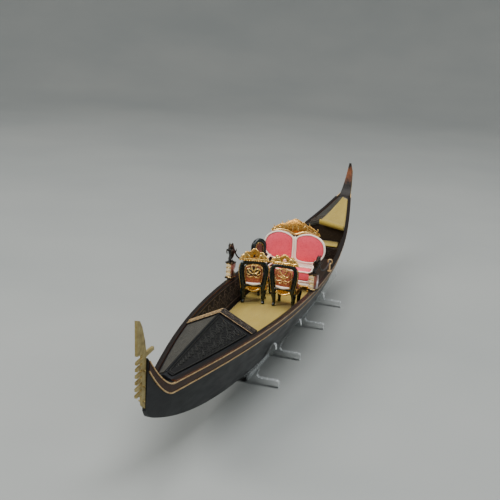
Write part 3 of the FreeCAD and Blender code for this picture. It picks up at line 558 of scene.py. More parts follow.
def pile_carpet():
    """Short yellow pile, combed along the boat, with worn lanes and darker stitches."""
    p = Paint("yellow_carpet", Roughness=0.85, Sheen_Weight=0.15, Sheen_Roughness=0.5)
    tuft = p.noise(3.2, 6, (0.6, 1.2, 1.2), rough=0.7)
    lanes = p.noise(0.3, 3, (0.12, 0.5, 0.5))
    colour = p.ramp(tuft, (0.3, (0.13, 0.075, 0.005)), (0.5, (0.3, 0.205, 0.019)),
                    (0.72, (0.44, 0.33, 0.05)))
    colour = p.mix(p.fit(lanes, 0.4, 0.7, 0.0, 0.3), colour, (0.44, 0.34, 0.06))
    return p.set(colour, bump=tuft, depth=0.28, strength=0.8)


def aged_brass():
    """Khaki brass with soft tarnish and polished patches."""
    p = Paint("bow_brass", Specular_IOR_Level=0.4)
    patch = p.noise(0.28, 5)
    fine = p.noise(2.2, 4, (1, 1, 0.3))
    colour = p.ramp(patch, (0.3, (0.17, 0.12, 0.04)), (0.5, (0.31, 0.24, 0.09)),
                    (0.75, (0.46, 0.38, 0.18)))
    return p.set(colour, p.fit(fine, 0.3, 0.7, 0.36, 0.55), p.fit(patch, 0.3, 0.7, 0.45, 0.75),
                 fine, 0.04, 0.4)


def enamel(name, hollow, body, crown):
    """Pale enamel with a warm wash in the hollows."""
    p = Paint(name, Specular_IOR_Level=0.4)
    patch = p.noise(0.7, 5)
    height = p.math("ADD", p.tone(), p.fit(patch, 0.3, 0.7, -0.25, 0.2), True)
    colour = p.ramp(height, (0.06, hollow), (0.3, body), (0.7, crown))
    return p.set(colour, p.fit(patch, 0.3, 0.7, 0.35, 0.52), bump=patch, depth=0.05, strength=0.5)


def damask(name, ground, figure, light, scale=0.32, sheen=0.5, gloss=0.42, metal=0.0):
    """Woven satin: a small figure in the same colour over a fine weave."""
    p = Paint(name, Sheen_Weight=sheen, Sheen_Roughness=0.35)
    warp_line = p.wave(1.9, (0.05, 1, 0.05))
    weft_line = p.wave(1.9, (0.05, 0.05, 1), (0, math.pi / 2, 0))
    weave = p.math("ADD", p.math("MULTIPLY", warp_line, 0.5), p.math("MULTIPLY", weft_line, 0.5))
    flower = p.fit(p.cells(scale), 0.32, 0.42)
    leaf = p.fit(p.noise(scale * 3.2, 2), 0.5, 0.56)
    shape = p.math("MULTIPLY", flower, leaf)
    colour = p.mix(shape, ground, figure)
    colour = p.mix(p.fit(weave, 0.3, 0.9, 0.0, 0.3), colour, light)
    rough = p.fit(shape, 0, 1, gloss, gloss + 0.2)
    shine = p.fit(shape, 0, 1, 0, metal) if metal else None
    height = p.math("ADD", p.math("MULTIPLY", weave, 0.35), shape)
    return p.set(colour, rough, shine, height, 0.1, 0.5)


def velvet():
    """Short velvet, lighter where the pile is brushed the other way."""
    p = Paint("red_brown_fabric", Roughness=0.7, Sheen_Weight=0.7, Sheen_Roughness=0.4)
    brushed = p.noise(0.4, 3)
    tuft = p.noise(5.0, 4)
    colour = p.mix(p.fit(brushed, 0.35, 0.65), (0.1, 0.016, 0.007), (0.26, 0.06, 0.025))
    return p.set(colour, bump=tuft, depth=0.08, strength=0.4)


def chair_lacquer():
    """Deep black gloss lacquer with small scuffs; its green-blue cast is a painted reflection."""
    p = Paint("black_chair_lacquer", Specular_IOR_Level=0.4, Coat_Weight=0.3, Coat_Roughness=0.05)
    patch = p.noise(0.9, 4)
    # green-blue cast in the colour: painted reflection
    colour = p.ramp(patch, (0.35, (0.003, 0.005, 0.005)), (0.7, (0.01, 0.02, 0.018)))
    return p.set(colour, p.fit(patch, 0.3, 0.7, 0.16, 0.32), bump=patch, depth=0.06, strength=0.4)


def dark_bronze():
    """Dark patinated bronze, brown-gold on the crowns and the upper sides of its bars: painted highlights."""
    p = Paint("dark_bronze", Specular_IOR_Level=0.55)
    patch = p.noise(1.2, 5)
    height = p.math("MULTIPLY", p.tone(), p.fit(patch, 0.35, 0.65, 0.3, 1.0))
    # brown-gold crown colour: painted highlight
    colour = p.ramp(height, (0.3, (0.008, 0.006, 0.005)), (0.72, (0.035, 0.022, 0.013)),
                    (1.0, (0.2, 0.12, 0.055)))
    return p.set(colour, p.fit(patch, 0.3, 0.7, 0.3, 0.5), p.fit(height, 0.2, 0.8, 0.35, 0.8),
                 p.noise(3.0, 4), 0.08, 0.5)


def braid():
    """Waxed black braid."""
    p = Paint("black_cord", Roughness=0.6)
    strands = p.math("MAXIMUM", p.wave(1.7, turn=(0.8, 0.8, 0)), p.wave(1.7, turn=(-0.8, 0.8, 0)))
    colour = p.ramp(strands, (0.3, (0.006, 0.005, 0.005)), (0.9, (0.035, 0.03, 0.027)))
    return p.set(colour, bump=strands, depth=0.12, strength=0.8)


def clear_acrylic():
    """Clear cast acrylic, faintly hazed and scratched. Its sawn edges, which face neither along
    the boat nor up, are made less clear and rougher so they look whitish: a painted highlight for the light
    they catch."""
    p = Paint("clear_acrylic", IOR=1.49, Roughness=0.03)
    edge = p.fit(p.math("ABSOLUTE", p.facing(0)), 0.85, 0.5)
    haze = p.fit(p.noise(0.6, 5), 0.45, 0.8, 0.015, 0.1)
    # less clear on the edges so they look whitish: painted highlight
    p.tree.links.new(p.fit(edge, 0, 1, 1.0, 0.55), p.shader.inputs["Transmission Weight"])
    colour = p.mix(edge, (0.98, 0.99, 0.99), (0.9, 0.94, 0.94))
    rough = p.math("ADD", haze, p.math("MULTIPLY", edge, 0.22))
    return p.set(colour, rough, bump=p.noise(1.2, 5, (1, 1, 0.06)), depth=0.02, strength=0.15)


def horn_paint():
    """The stern post's lacquer: black, with a reddish rubbed patch near the tip."""
    p = Paint("stern_post_lacquer", Specular_IOR_Level=0.15)
    patch = p.noise(0.5, 5)
    height = p.math("ADD", p.height(), p.fit(patch, 0.3, 0.7, -3.0, 3.0))
    up = p.fit(height, 76.0, 84.0)
    down = p.fit(height, 91.0, 87.0)
    patch_here = p.math("MULTIPLY", p.math("MULTIPLY", up, down), 0.8)
    colour = p.mix(patch_here, p.ramp(patch, (0.3, (0.008, 0.007, 0.007)), (0.7, (0.03, 0.026, 0.022))),
                   (0.22, 0.075, 0.03))
    return p.set(colour, p.fit(patch, 0.3, 0.7, 0.28, 0.5), bump=patch, depth=0.06, strength=0.4)


MATERIALS = {
    "black_lacquer": black_lacquer(),
    "stern_post_lacquer": horn_paint(),
    "brown_band": wood_paint("brown_band", (0.01, 0.0045, 0.003), (0.032, 0.014, 0.008),
                             (0.075, 0.036, 0.02)),
    "gunwale_brown": rail_paint(),
    "dark_wood": wood_paint("dark_wood", (0.008, 0.005, 0.004), (0.022, 0.014, 0.01),
                            (0.05, 0.034, 0.024)),
    "gold_trim": gold_paint(),
    "gilt": gilding(),
    # hollow colours below are painted shade, crown colours painted highlights
    "dark_carving": carved_paint("dark_carving", (0.0012, 0.0012, 0.0012), (0.004, 0.004, 0.0035),
                                 (0.024, 0.025, 0.021), 0.42),
    "brown_carving": carved_paint("brown_carving", (0.006, 0.004, 0.003), (0.026, 0.017, 0.011),
                                  (0.09, 0.062, 0.042), 0.38),
    "dark_moulding": carved_paint("dark_moulding", (0.008, 0.006, 0.005), (0.03, 0.022, 0.016),
                                  (0.11, 0.085, 0.06), 0.35),
    "grey_panel": grey_panel(),
    "yellow_carpet": pile_carpet(),
    "bow_brass": aged_brass(),
    "cream_paint": enamel("cream_paint", (0.66, 0.24, 0.15), (0.92, 0.68, 0.54), (0.97, 0.86, 0.74)),
    "cream_and_gilt": enamel("cream_and_gilt", (0.16, 0.075, 0.03), (0.52, 0.37, 0.19),
                             (0.76, 0.62, 0.4)),
    "pink_fabric": damask("pink_fabric", (0.93, 0.075, 0.125), (0.85, 0.055, 0.1), (0.98, 0.16, 0.19),
                          sheen=0.15),
    "rose_brocade": damask("rose_brocade", (0.27, 0.042, 0.026), (0.6, 0.28, 0.08),
                           (0.5, 0.14, 0.09), 0.55, 0.1, 0.34, 0.75),
    "red_brown_fabric": velvet(),
    "black_chair_lacquer": chair_lacquer(),
    "dark_bronze": dark_bronze(),
    "black_cord": braid(),
    "clear_acrylic": clear_acrylic(),
}
RECORD_SLOTS = {"brown_carving": "dark_carving"}    # the record has one slot for both carvings


# ---------------------------------------------------------------- floor, light, camera

def build_stage():
    """A pale floor that curves up into a wall all round, lit from above and from the bow."""
    profile = [(0.0, 0.0), (0.6, 0.0), (1.3, 0.0)]
    profile += [(1.3 + 1.1 * math.sin(a), 1.1 - 1.1 * math.cos(a))
                for a in (math.pi / 2 * i / 14 for i in range(1, 15))]
    profile.append((2.4, 2.6))
    points, faces, sides = [], [], 72
    for r, z in profile[1:]:
        points += [(r * math.cos(2 * math.pi * k / sides), r * math.sin(2 * math.pi * k / sides), z)
                   for k in range(sides)]
    for i in range(len(profile) - 2):
        for k in range(sides):
            j = (k + 1) % sides
            faces.append((i * sides + j, i * sides + k, (i + 1) * sides + k, (i + 1) * sides + j))
    faces.append(tuple(range(sides)))
    mesh = bpy.data.meshes.new("floor")
    mesh.from_pydata(points, [], faces)
    mesh.polygons.foreach_set("use_smooth", [True] * len(mesh.polygons))
    floor = put(bpy.data.objects.new("floor", mesh))
    p = Paint("floor_paper", Roughness=0.55, Specular_IOR_Level=0.3)
    cloud = p.noise(0.004, 3)
    mesh.materials.append(p.set(p.ramp(cloud, (0.3, (0.265, 0.28, 0.272)), (0.7, (0.305, 0.316, 0.302))),
                                bump=p.noise(0.4, 3), depth=0.02, strength=0.2))
    floor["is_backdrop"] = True


def soft_light(name, place, size, power, colour=(1, 1, 1)):
    """A round area lamp that points at the boat."""
    lamp = bpy.data.lights.new(name, "AREA")
    lamp.shape, lamp.size, lamp.energy, lamp.color = "DISK", size, power, colour
    made = put(bpy.data.objects.new(name, lamp))
    made.location = place
    made.rotation_euler = (BOAT_MIDDLE - Vector(place)).to_track_quat("-Z", "Y").to_euler()


BOAT_MIDDLE = Vector((0, 0, 0.04))
CAMERA_PLACE = (0.5905, 0.16715, 0.2339)
CAMERA_TURN = (17.574, 15.316, 3.005)          # azimuth, elevation and roll, in degrees
CAMERA_LENS, CAMERA_SENSOR = 66.9, 36.0


def build_camera():
    """The view from low over the bow, a little to port."""
    azimuth, elevation, roll = (math.radians(a) for a in CAMERA_TURN)
    back = Vector((math.cos(azimuth) * math.cos(elevation),
                   math.sin(azimuth) * math.cos(elevation), math.sin(elevation)))
    level = Vector((-math.sin(azimuth), math.cos(azimuth), 0.0))
    upright = back.cross(level)
    right = level * math.cos(roll) + upright * math.sin(roll)
    up = back.cross(right)
    lens = bpy.data.cameras.new("camera")
    lens.lens, lens.sensor_width, lens.clip_start = CAMERA_LENS, CAMERA_SENSOR, 0.01
    made = put(bpy.data.objects.new("camera", lens))
    made.matrix_world = Matrix.Translation(CAMERA_PLACE) @ Matrix(
        (right, up, back)).transposed().to_4x4()
    bpy.context.scene.camera = made


build_stage()
build_camera()
soft_light("overhead", (-0.1, 0.2, 1.5), 1.3, 29.0)
soft_light("key", (0.9, -0.9, 1.0), 0.7, 21.0, (1.0, 0.98, 0.95))
soft_light("fill", (0.7, 1.3, 0.7), 0.9, 9.0, (0.95, 0.98, 1.0))
world = bpy.data.worlds.new("studio")
bpy.context.scene.world = world
world.use_nodes = True
world.node_tree.nodes["Background"].inputs["Color"].default_value = (0.8, 0.84, 0.88, 1)
world.node_tree.nodes["Background"].inputs["Strength"].default_value = 0.4


# ---------------------------------------------------------------- CAD nodes that stay

KEPT = {
    "black_lacquer": ("hull", "stem_post", "foredeck"),
    "stern_post_lacquer": ("stern_post",),
    # these slopes are coloured grey, a painted reflection of their sheen
    "grey_panel": ("aft_deck", "foredeck_starboard_panel", "aft_deck_panel"),
    "brown_band": ("sheer_bands",),
    "gold_trim": ("gold_lines", "stern_strips", "ring_eyes"),
    "gunwale_brown": ("port_gunwale_cap", "starboard_gunwale_cap"),
    "brown_carving": ("port_lining", "starboard_lining"),
    "dark_carving": ("foredeck_port_panel",),
    "dark_moulding": ("foredeck_moulding",),
    "dark_wood": ("floorboards", "fore_bulkhead", "aft_bulkhead", "aft_locker"),
    "bow_brass": ("bow_iron", "bow_iron_rivets"),
    "clear_acrylic": ["%s_stand_%s" % (end, part) for end in ("front", "rear")
                      for part in ("fore_cradle", "aft_cradle", "stretcher")],
}
BEVELS = {"clear_acrylic": 0.25, "bow_brass": 0.18, "gunwale_brown": 0.18, "dark_moulding": 0.2,
          "dark_wood": 0.15}
for finish, nodes in KEPT.items():
    for part in (NODES[node] for node in nodes):
        part.data.materials.clear()
        part.data.materials.append(MATERIALS[finish])
        if finish in BEVELS:
            eased = part.modifiers.new("Eased edges", "BEVEL")
            eased.width, eased.segments, eased.limit_method = BEVELS[finish] * MM, 2, "ANGLE"
            eased.angle_limit = math.radians(40)
            eased.harden_normals = True


# ---------------------------------------------------------------- carving on the boat

VOLUTE_TURNS = 1.35


def vine(shape, warp, start, stop, low, high, radius, seed):
    """A running scroll between two stations: volutes on alternate sides of a wavy stem, with
    leaves. low(u) and high(u) bound it."""
    rng = random.Random(seed)
    u, side, stem = start, 1, []
    while u < stop:
        room = (high(u) - low(u)) / 2
        size = max(0.8, min(room * 0.72, 4.6))
        middle = (high(u) + low(u)) / 2
        centre = Vector((u + size * 0.6, middle + side * (room - size) * 0.55))
        thick = max(0.16, radius * size / 3.2)
        path = []
        first = math.pi * (1.0 if side > 0 else -1.0) * rng.uniform(0.85, 1.1)
        for i in range(25):
            t = i / 24
            angle = first - side * 2 * math.pi * VOLUTE_TURNS * t
            reach = size * (1 - t) ** 0.85 + 0.12 * size
            path.append(centre + Vector((math.cos(angle), math.sin(angle))) * reach)
        shape.stroke(path, (thick * 0.7, thick, thick * 0.85, thick * 0.7), warp, 0.95, 6)
        for k in range(7):
            angle = first - side * (0.35 + k * 0.62) + rng.uniform(-0.12, 0.12)
            out = Vector((math.cos(angle), math.sin(angle)))
            root = centre + out * size * (0.98 - 0.07 * k)
            heading = math.degrees(angle) + side * 40
            leaf = curl(root, heading, size * rng.uniform(0.45, 0.7), -side * 0.9 / size,
                        -side * 2.6 / size, 7)
            shape.stroke(leaf, (thick * 0.35, thick * 0.95, thick * 0.6, thick * 0.15), warp, 0.8, 6)
        stem.append(Vector((u - size * 0.5, middle - side * (room - size) * 0.2 - side * size * 0.7)))
        u += size * 1.75
        side = -side
    if len(stem) > 2:
        shape.stroke(smooth(stem, 6), radius * 0.8, warp, 0.9, 6)


def line_of(u0, u1, v_of, count):
    return [Vector((between(u0, u1, i / count), v_of(between(u0, u1, i / count))))
            for i in range(count + 1)]


FOREDECK_PITCH, AFT_DECK_PITCH = 0.50, 0.32
CARVING_BASE, MOULDING_TOP = 0.68, 1.02        # above the deck's slope
LINING_FACE = 2.66                             # inboard of the hull's outside


def on_slope(side, pitch, base):
    """Lays plane (x, distance from the ridge) points on one slope of a gabled deck."""
    return lambda u, v, w: (u, side * v, slope_height(u, v, pitch) + base + w)


def build_deck_carving():
    """Black swirling relief on the port slope of the foredeck, edged with a reeded rim."""
    carving = Shape()
    warp = on_slope(1, FOREDECK_PITCH, CARVING_BASE)
    low = lambda u: 1.9
    high = lambda u: max(2.6, deck_edge(u) - 2.3)
    vine(carving, warp, 124.5, 187.0, low, lambda u: between(low(u), high(u), 0.52), 0.5, seed=5)
    vine(carving, warp, 124.5, 172.0, lambda u: between(low(u), high(u), 0.48), high, 0.5, seed=11)
    rim = (line_of(122.8, 194.0, lambda u: 1.2, 34)
           + line_of(194.0, 122.8, lambda u: deck_edge(u) - 1.7, 34))
    carving.stroke(rim, 0.36, warp, 0.9, 6, closed=True)
    carving.piece("foredeck_carving", "gondola", ["dark_carving"])
    ridge = Shape()
    ridge.tube([(x, 0, slope_height(x, 0, FOREDECK_PITCH) + 0.2)
                for x in (119.5 + 4.0 * i for i in range(20))], 0.45, 8)
    ridge.piece("foredeck_ridge_bead", "gondola", ["black_lacquer"])


def build_aft_deck_carving():
    """Carved strip across the starboard slope of the aft deck, near its fore edge."""
    carving = Shape()
    warp = on_slope(-1, AFT_DECK_PITCH, CARVING_BASE)
    flip = lambda u, v, w: warp(v, u, w)
    vine(carving, flip, 5.6, 13.0, lambda u: -147.0, lambda u: -139.4, 0.5, seed=8)
    rim = ([Vector((v, -138.4)) for v in (4.6, 7, 10, 13.4)]
           + [Vector((v, -148.2)) for v in (12.6, 9.5, 7, 4.6)])
    carving.stroke(rim, 0.34, flip, 0.9, 6, closed=True)
    for row in (-137.4, -149.4):
        carving.stroke([Vector((v, row)) for v in (4.6, 7, 10, 13)], 0.26, flip)
    carving.piece("aft_deck_carving", "gondola", ["dark_moulding"])


def build_lining_carving():
    """Frieze of scrolls between two beads on each cockpit lining."""
    for name, side in (("port", 1), ("starboard", -1)):
        carving = Shape()

        def warp(u, v, w, side=side):
            return (u, side * (side_at(u, v) - LINING_FACE - w), v)
        low, high = (lambda u: 17.4), (lambda u: sheer(u) - 1.7)
        vine(carving, warp, -112.0, 104.0, low, high, 0.36, seed=21)
        carving.stroke(line_of(-115, 110, lambda u: 16.6, 60), 0.3, warp, 0.9, 6)
        carving.stroke(line_of(-115, 110, lambda u: sheer(u) - 1.0, 60), 0.34, warp, 0.9, 6)
        carving.piece(name + "_lining_carving", "gondola", ["brown_carving"])


def build_cross_carving():
    """Carving on the locker's face and on the foredeck bulkhead's cockpit side."""
    carving = Shape()
    across = lambda u, v, w: (-117.0 + w + 0.02, u, v)
    vine(carving, across, -12.5, 11.5, lambda u: 16.2, lambda u: 22.4, 0.36, seed=31)
    carving.stroke([Vector((v, 22.9)) for v in (-16.2, 0, 16.2)], 0.3, across)
    facing = lambda u, v, w: (112.58 - w, u, v)
    vine(carving, facing, -15.0, 13.5, lambda u: 17.0, lambda u: 25.6, 0.36, seed=33)
    carving.piece("cross_carving", "gondola", ["brown_carving"])


def build_moulding():
    """Reeded chevron moulding at the aft edge of the foredeck: gold and dark stripes to
    starboard, one fine line and leaf carving to port."""
    lines = Shape()
    rows = ((-1, 112.8, 0.4, 1), (-1, 114.3, 0.26, 0), (-1, 115.6, 0.3, 1), (-1, 116.9, 0.24, 0),
            (-1, 118.3, 0.24, 1), (1, 118.4, 0.14, 1), (1, 116.9, 0.14, 0))
    for side, row, radius, slot in rows:
        warp = on_slope(side, FOREDECK_PITCH, MOULDING_TOP)
        path = [Vector((row, between(0.2, deck_edge(row) - 0.2, i / 14))) for i in range(15)]
        lines.stroke(path, radius, warp, 0.75, 8, slot)
    lines.piece("foredeck_moulding_lines", "gondola", ["dark_moulding", "gold_trim"])
    leaves = Shape()
    for side in (1, -1):
        slope = on_slope(side, FOREDECK_PITCH, MOULDING_TOP)
        warp = lambda u, v, w, slope=slope: slope(v, u, w)
        if side > 0:
            vine(leaves, warp, 1.6, 18.5, lambda u: 112.6, lambda u: 116.4, 0.5, seed=41)
        leaves.stroke([Vector((between(0.2, deck_edge(112.3) - 0.3, i / 14), 112.3))
                       for i in range(15)], 0.4, warp, 0.9, 8)
    leaves.piece("foredeck_moulding_leaves", "gondola", ["dark_moulding"])


# ---------------------------------------------------------------- carpets

def cloth_area(rows):
    """Area of a grid of points, in square metres."""
    total = 0.0
    for a, b in zip(rows, rows[1:]):
        for i in range(len(a) - 1):
            p, q, r, s = a[i], a[i + 1], b[i + 1], b[i]
            total += ((q - p).cross(s - p).length + (q - r).cross(s - r).length) / 2
    return total


COCKPIT_CARPET = (-50.0, 108.8)                # stations of its aft and fore ends
LOCKER_CARPET = (-134.4, -117.5)


def build_cockpit_carpet():
    """Boat-shaped carpet, a little wavy along its cut edges."""
    rng = random.Random(4)
    carpet, rows = Shape(), []
    count, across = 100, 24
    top, under = [], []
    for i in range(count + 1):
        x = between(*COCKPIT_CARPET, i / count)
        wide = side_at(x, 13.8) - 3.5 + 0.6 * rng.uniform(-0.12, 0.12)
        row_top, row_under = [], []
        for j in range(across + 1):
            v = -1 + 2 * j / across
            height = 14.58 + 0.06 * math.sin(x * 0.31 + v * 3) * math.cos(x * 0.13 - v * 5)
            row_top.append((x, v * wide, height - 0.25 * max(0.0, abs(v) - 0.96) / 0.04))
            row_under.append((x, v * wide, 13.9))
        top.append(row_top)
        under.append(row_under)
        rows.append([boat(*p) for p in row_top])
    carpet.rings([t + u[::-1] for t, u in zip(top, under)])
    made = carpet.piece("cockpit_carpet_pile", "gondola", ["yellow_carpet"], ["cockpit_carpet"])
    width, length = 2 * max(p[-1][1] for p in top) * MM, (COCKPIT_CARPET[1] - COCKPIT_CARPET[0]) * MM
    cloth_area(rows)


def build_locker_carpet():
    """Carpet on the aft locker, cut to the hull, with a slightly lifted fore edge."""
    top, under, rows = [], [], []
    for i in range(25):
        x = between(*LOCKER_CARPET, i / 24)
        wide = side_at(x, 23.5) - 4.0 + 0.08 * math.sin(i * 1.7)
        curled = 0.5 * max(0.0, (i - 20) / 4) ** 2
        spread = [(-1 + 2 * j / 20) * wide for j in range(21)]
        top.append([(x, y, 24.38 + curled + 0.05 * math.sin(x * 0.9 + y * 0.6)) for y in spread])
        under.append([(x, y, 23.56 + curled) for y in spread])
        rows.append([boat(*p) for p in top[-1]])
    carpet = Shape()
    carpet.rings([t + u[::-1] for t, u in zip(top, under)])
    made = carpet.piece("locker_carpet_pile", "gondola", ["yellow_carpet"], ["locker_carpet"])
    width = max((row[-1] - row[0]).length for row in rows)
    cloth_area(rows)


def build_stern_carpet():
    """Carpet over the port slope and the ridge of the aft deck; its fore end hangs at the deck's
    edge, rolled up. A row of the line is a station or, on the roll, a place round its axis."""
    thick, across, roll, edge = 0.75, 14, 44, -135.0
    rows_top, rows_under, rows, lengths = [], [], [], []
    line = [(between(-193.0, edge - 0.6, i / 20), None) for i in range(21)]
    line += [(edge, math.pi / 2 - 2 * math.pi * 1.4 * i / roll) for i in range(roll + 1)]

    def chord(y):
        """Height of the roll's axis: straight from the ridge's far side to the port gunwale."""
        return between(sheer(edge) + 5.1, sheer(edge) + 1.2, (y + 4.0) / 20.0)

    def middle(i, j):
        x, turn = line[i]
        forward = min(1.0, (x + 193.0) / 57.0)
        y = between(0.45 - 4.4 * forward ** 1.5, deck_edge(x) - 0.3, j / across)
        skew = 2.0 * forward * (1 - j / across)
        if turn is None:
            over = max(0.0, min(1.0, -y / 0.8)) * 0.62
            lift = 0.35 * max(0.0, 1 - abs(y) / 1.6)
            return Vector((x, y, slope_height(x, y, AFT_DECK_PITCH) + 0.1 + thick / 2 + over + lift))
        reach = 1.95 - 0.95 * (i - 21) / roll
        return Vector((edge + 2.45 + skew + reach * math.cos(turn), y,
                       chord(y) + reach * math.sin(turn)))
    for i in range(len(line)):
        top, under = [], []
        for j in range(across + 1):
            p = middle(i, j)
            along = middle(min(i + 1, len(line) - 1), j) - middle(max(i - 1, 0), j)
            normal = Vector((-along.z, 0, along.x)).normalized() * (thick / 2)
            top.append(p + normal)
            under.append(p - normal)
        rows_top.append(top)
        rows_under.append(under)
        rows.append([boat(*p) for p in top])
    carpet = Shape()
    carpet.rings([t + u[::-1] for t, u in zip(rows_top, rows_under)])
    made = carpet.piece("stern_carpet_rolled", "gondola", ["yellow_carpet"], ["stern_carpet"])
    for j in (0, across):
        lengths.append(sum((rows[i + 1][j] - rows[i][j]).length for i in range(len(rows) - 1)))
    width = max((row[-1] - row[0]).length for row in rows)
    sum(lengths) / 2
    cloth_area(rows)


# ---------------------------------------------------------------- horses, pedestals, cords

PEDESTAL = (17.0, 29.3)                        # station, distance from the centre line
RAIL_TOP = sheer(PEDESTAL[0]) + 1.06           # the pedestals stand on the gunwale caps
PEDESTAL_YAW = -17.0
LEAN = {"port": 15.0, "starboard": 0.0}        # of the horses, degrees outboard


def build_pedestal(name, side):
    """Square banded pedestal, turned to starboard: cream courses between gilt bands, a
    red-brown panel on its port face, a dark foot and a dark cap."""
    yaw = math.radians(PEDESTAL_YAW)
    cos, sin = math.cos(yaw), math.sin(yaw)
    block = Shape(lambda a, b, c: boat(PEDESTAL[0] + a * cos - b * sin,
                                       side * PEDESTAL[1] + a * sin + b * cos, RAIL_TOP + c))
    square = plane((-1, -1), (1, -1), (1, 1), (-1, 1))

    def slab(half, z0, z1, slot, bevel=0.18):
        block.ribbon([c * half for c in square], flatways, z0, z1, bevel, slot)
    slab(2.75, 0.0, 0.9, 1)
    slab(2.4, 0.9, 1.5, 2)
    courses = ((1.5, 4.2), (4.8, 7.4), (8.0, 10.2))
    for z0, z1 in courses:
        slab(2.1, z0, z1, 0, 0.28)
        slab(2.35, z1, z1 + 0.6, 2)
    slab(2.5, 10.8, 11.2, 1, 0.08)
    slab(2.8, 11.2, 11.8, 1)
    for z0, z1 in courses:
        for u in (-1.1, 0, 1.1):
            block.bead((2.14, u, (z0 + z1) / 2), 0.3, 2)
            block.bead((-2.14, u, (z0 + z1) / 2), 0.3, 2)
            block.bead((u, -2.14, (z0 + z1) / 2), 0.3, 2)
    port_face = lambda u, v, w: (u, 2.2 + w, v)
    block.ribbon(plane((-2.3, 1.6), (-2.3, 10.7), (2.3, 10.7), (2.3, 1.6)), port_face,
                 -0.25, 0.35, 0.1, 3)
    block.piece(name + "_pedestal_bands", "gondola",
                ["cream_and_gilt", "dark_bronze", "gilt", "red_brown_fabric"], [name + "_pedestal"])


def build_sea_horse(name, side):
    """Rearing sea horse with a coiled tail, fins, a mane, raised forelegs and a stud for the
    cord. The port one leans outboard."""
    tilt = math.radians(LEAN[name])
    cos, sin = math.cos(tilt), math.sin(tilt)
    figure = Shape(lambda a, b, c: boat(PEDESTAL[0] + a, side * PEDESTAL[1] + b * cos + c * sin,
                                        RAIL_TOP + 11.86 + c * cos - b * sin * 0.2))
    body = smooth([(-2.0, 0.2, 0.9), (-0.9, 0.6, 0.5), (0.6, 0.5, 0.6), (1.7, 0, 1.3), (1.4, -0.3, 2.5),
                   (0.0, 0, 3.3), (-0.8, 0, 4.6), (-0.5, 0, 6.3), (0.2, 0, 8.0), (0.3, 0, 9.6),
                   (1.0, 0, 11.1), (2.3, 0, 11.7), (3.7, 0, 11.1), (4.7, 0, 10.3)], 5)
    figure.tube(body, (0.3, 0.5, 0.7, 0.95, 1.2, 1.5, 1.95, 2.25, 2.2, 1.75, 1.5, 1.5, 1.0, 0.6), 12)
    for sign in (1, -1):
        figure.tube(smooth([(0.8, sign * 1.1, 7.6), (2.4, sign * 1.8, 8.6), (3.7, sign * 1.9, 8.9),
                            (4.2, sign * 1.7, 7.8), (3.9, sign * 1.6, 6.7)], 5),
                    (0.75, 0.65, 0.5, 0.4, 0.5), 8)
        figure.tube([(1.3, sign * 0.7, 12.3), (1.1, sign * 0.95, 13.0), (0.9, sign * 1.0, 13.6)],
                    (0.5, 0.38, 0.12), 6)
        figure.tube(smooth([(-0.6, sign * 1.2, 5.4), (-1.9, sign * 2.6, 7.0), (-2.3, sign * 3.0, 9.0)], 5),
                    (0.9, 0.85, 0.15), 8, 0.4, up=(0, 1, 0))
        figure.bead((2.6, sign * 1.15, 11.9), 0.26)
    for i in range(7):
        low = 5.2 + i * 1.05
        back = -1.9 + 0.2 * max(0, i - 1) ** 1.05
        figure.tube(smooth([(back + 0.8, 0, low), (back - 0.4, 0, low + 0.5), (back - 1.1, 0, low + 1.4)], 4),
                    (0.65, 0.5, 0.14), 6, 0.6, up=(0, 1, 0))
    figure.tube([(0.4, 0, 9.9), (-1.0, 0, 10.8), (-2.25, 0, 11.64)], 0.6, 8)
    figure.bead((-2.25, 0, 11.64), 0.8, sides=12, rings=7)
    figure.tube(circle(1.8, 24, (0.0, 0.0, 0.25)), 0.42, 8, closed=True)
    figure.piece(name + "_sea_horse_figure", "gondola", ["dark_bronze"], [name + "_sea_horse"], 1)


# Route of the port cord, from the stud on the horse's back down and aft to the ring eye.
CORD_ROUTE = [(14.2, 29.3, 51.8), (9.2, 29.4, 45.8), (3.0, 29.6, 40.9), (-4.2, 29.7, 37.2),
              (-12.2, 29.6, 35.0), (-20.4, 29.3, 34.6), (-27.9, 29.1, 35.8), (-31.3, 29.0, 37.2)]
CORD_DIAMETER = 1.1 * MM


def build_cord(name, side):
    follow = math.sin(math.radians(LEAN[name]))
    shifts = [11.0 * follow, 4.5 * follow, 1.0 * follow] + [0.0] * (len(CORD_ROUTE) - 3)
    route = [boat(x, side * (y + shift), z) for (x, y, z), shift in zip(CORD_ROUTE, shifts)]
    data = bpy.data.curves.new(name + "_braided_cord", "CURVE")
    data.dimensions = "3D"
    line = data.splines.new("NURBS")
    line.points.add(len(route) - 1)
    for point, place in zip(line.points, route):
        point.co = (*place, 1)
    line.order_u = 3
    line.use_endpoint_u = True
    line.resolution_u = 12
    data.bevel_depth, data.bevel_resolution, data.use_fill_caps = CORD_DIAMETER / 2, 3, True
    data.materials.append(MATERIALS["black_cord"])
    made = put(bpy.data.objects.new(name + "_braided_cord", data))
    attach(made, "gondola")
    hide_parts(name + "_cord")
    tuple(route[0])


for name, side in (("port", 1), ("starboard", -1)):
    build_cord(name, side)
    build_pedestal(name, side)
    build_sea_horse(name, side)
build_deck_carving()
build_aft_deck_carving()
build_lining_carving()
build_cross_carving()
build_moulding()
build_cockpit_carpet()
build_locker_carpet()
build_stern_carpet()


# ---------------------------------------------------------------- furniture

BACK_BOW = 7.7                                 # a gilt chair's back stands this far behind
SMALL_BACK, SOFA_BACK = 5.35, 15.1             # and the small chair's and the love seat's
CREST_FOOT = 30.25                             # height of a gilt chair's crest


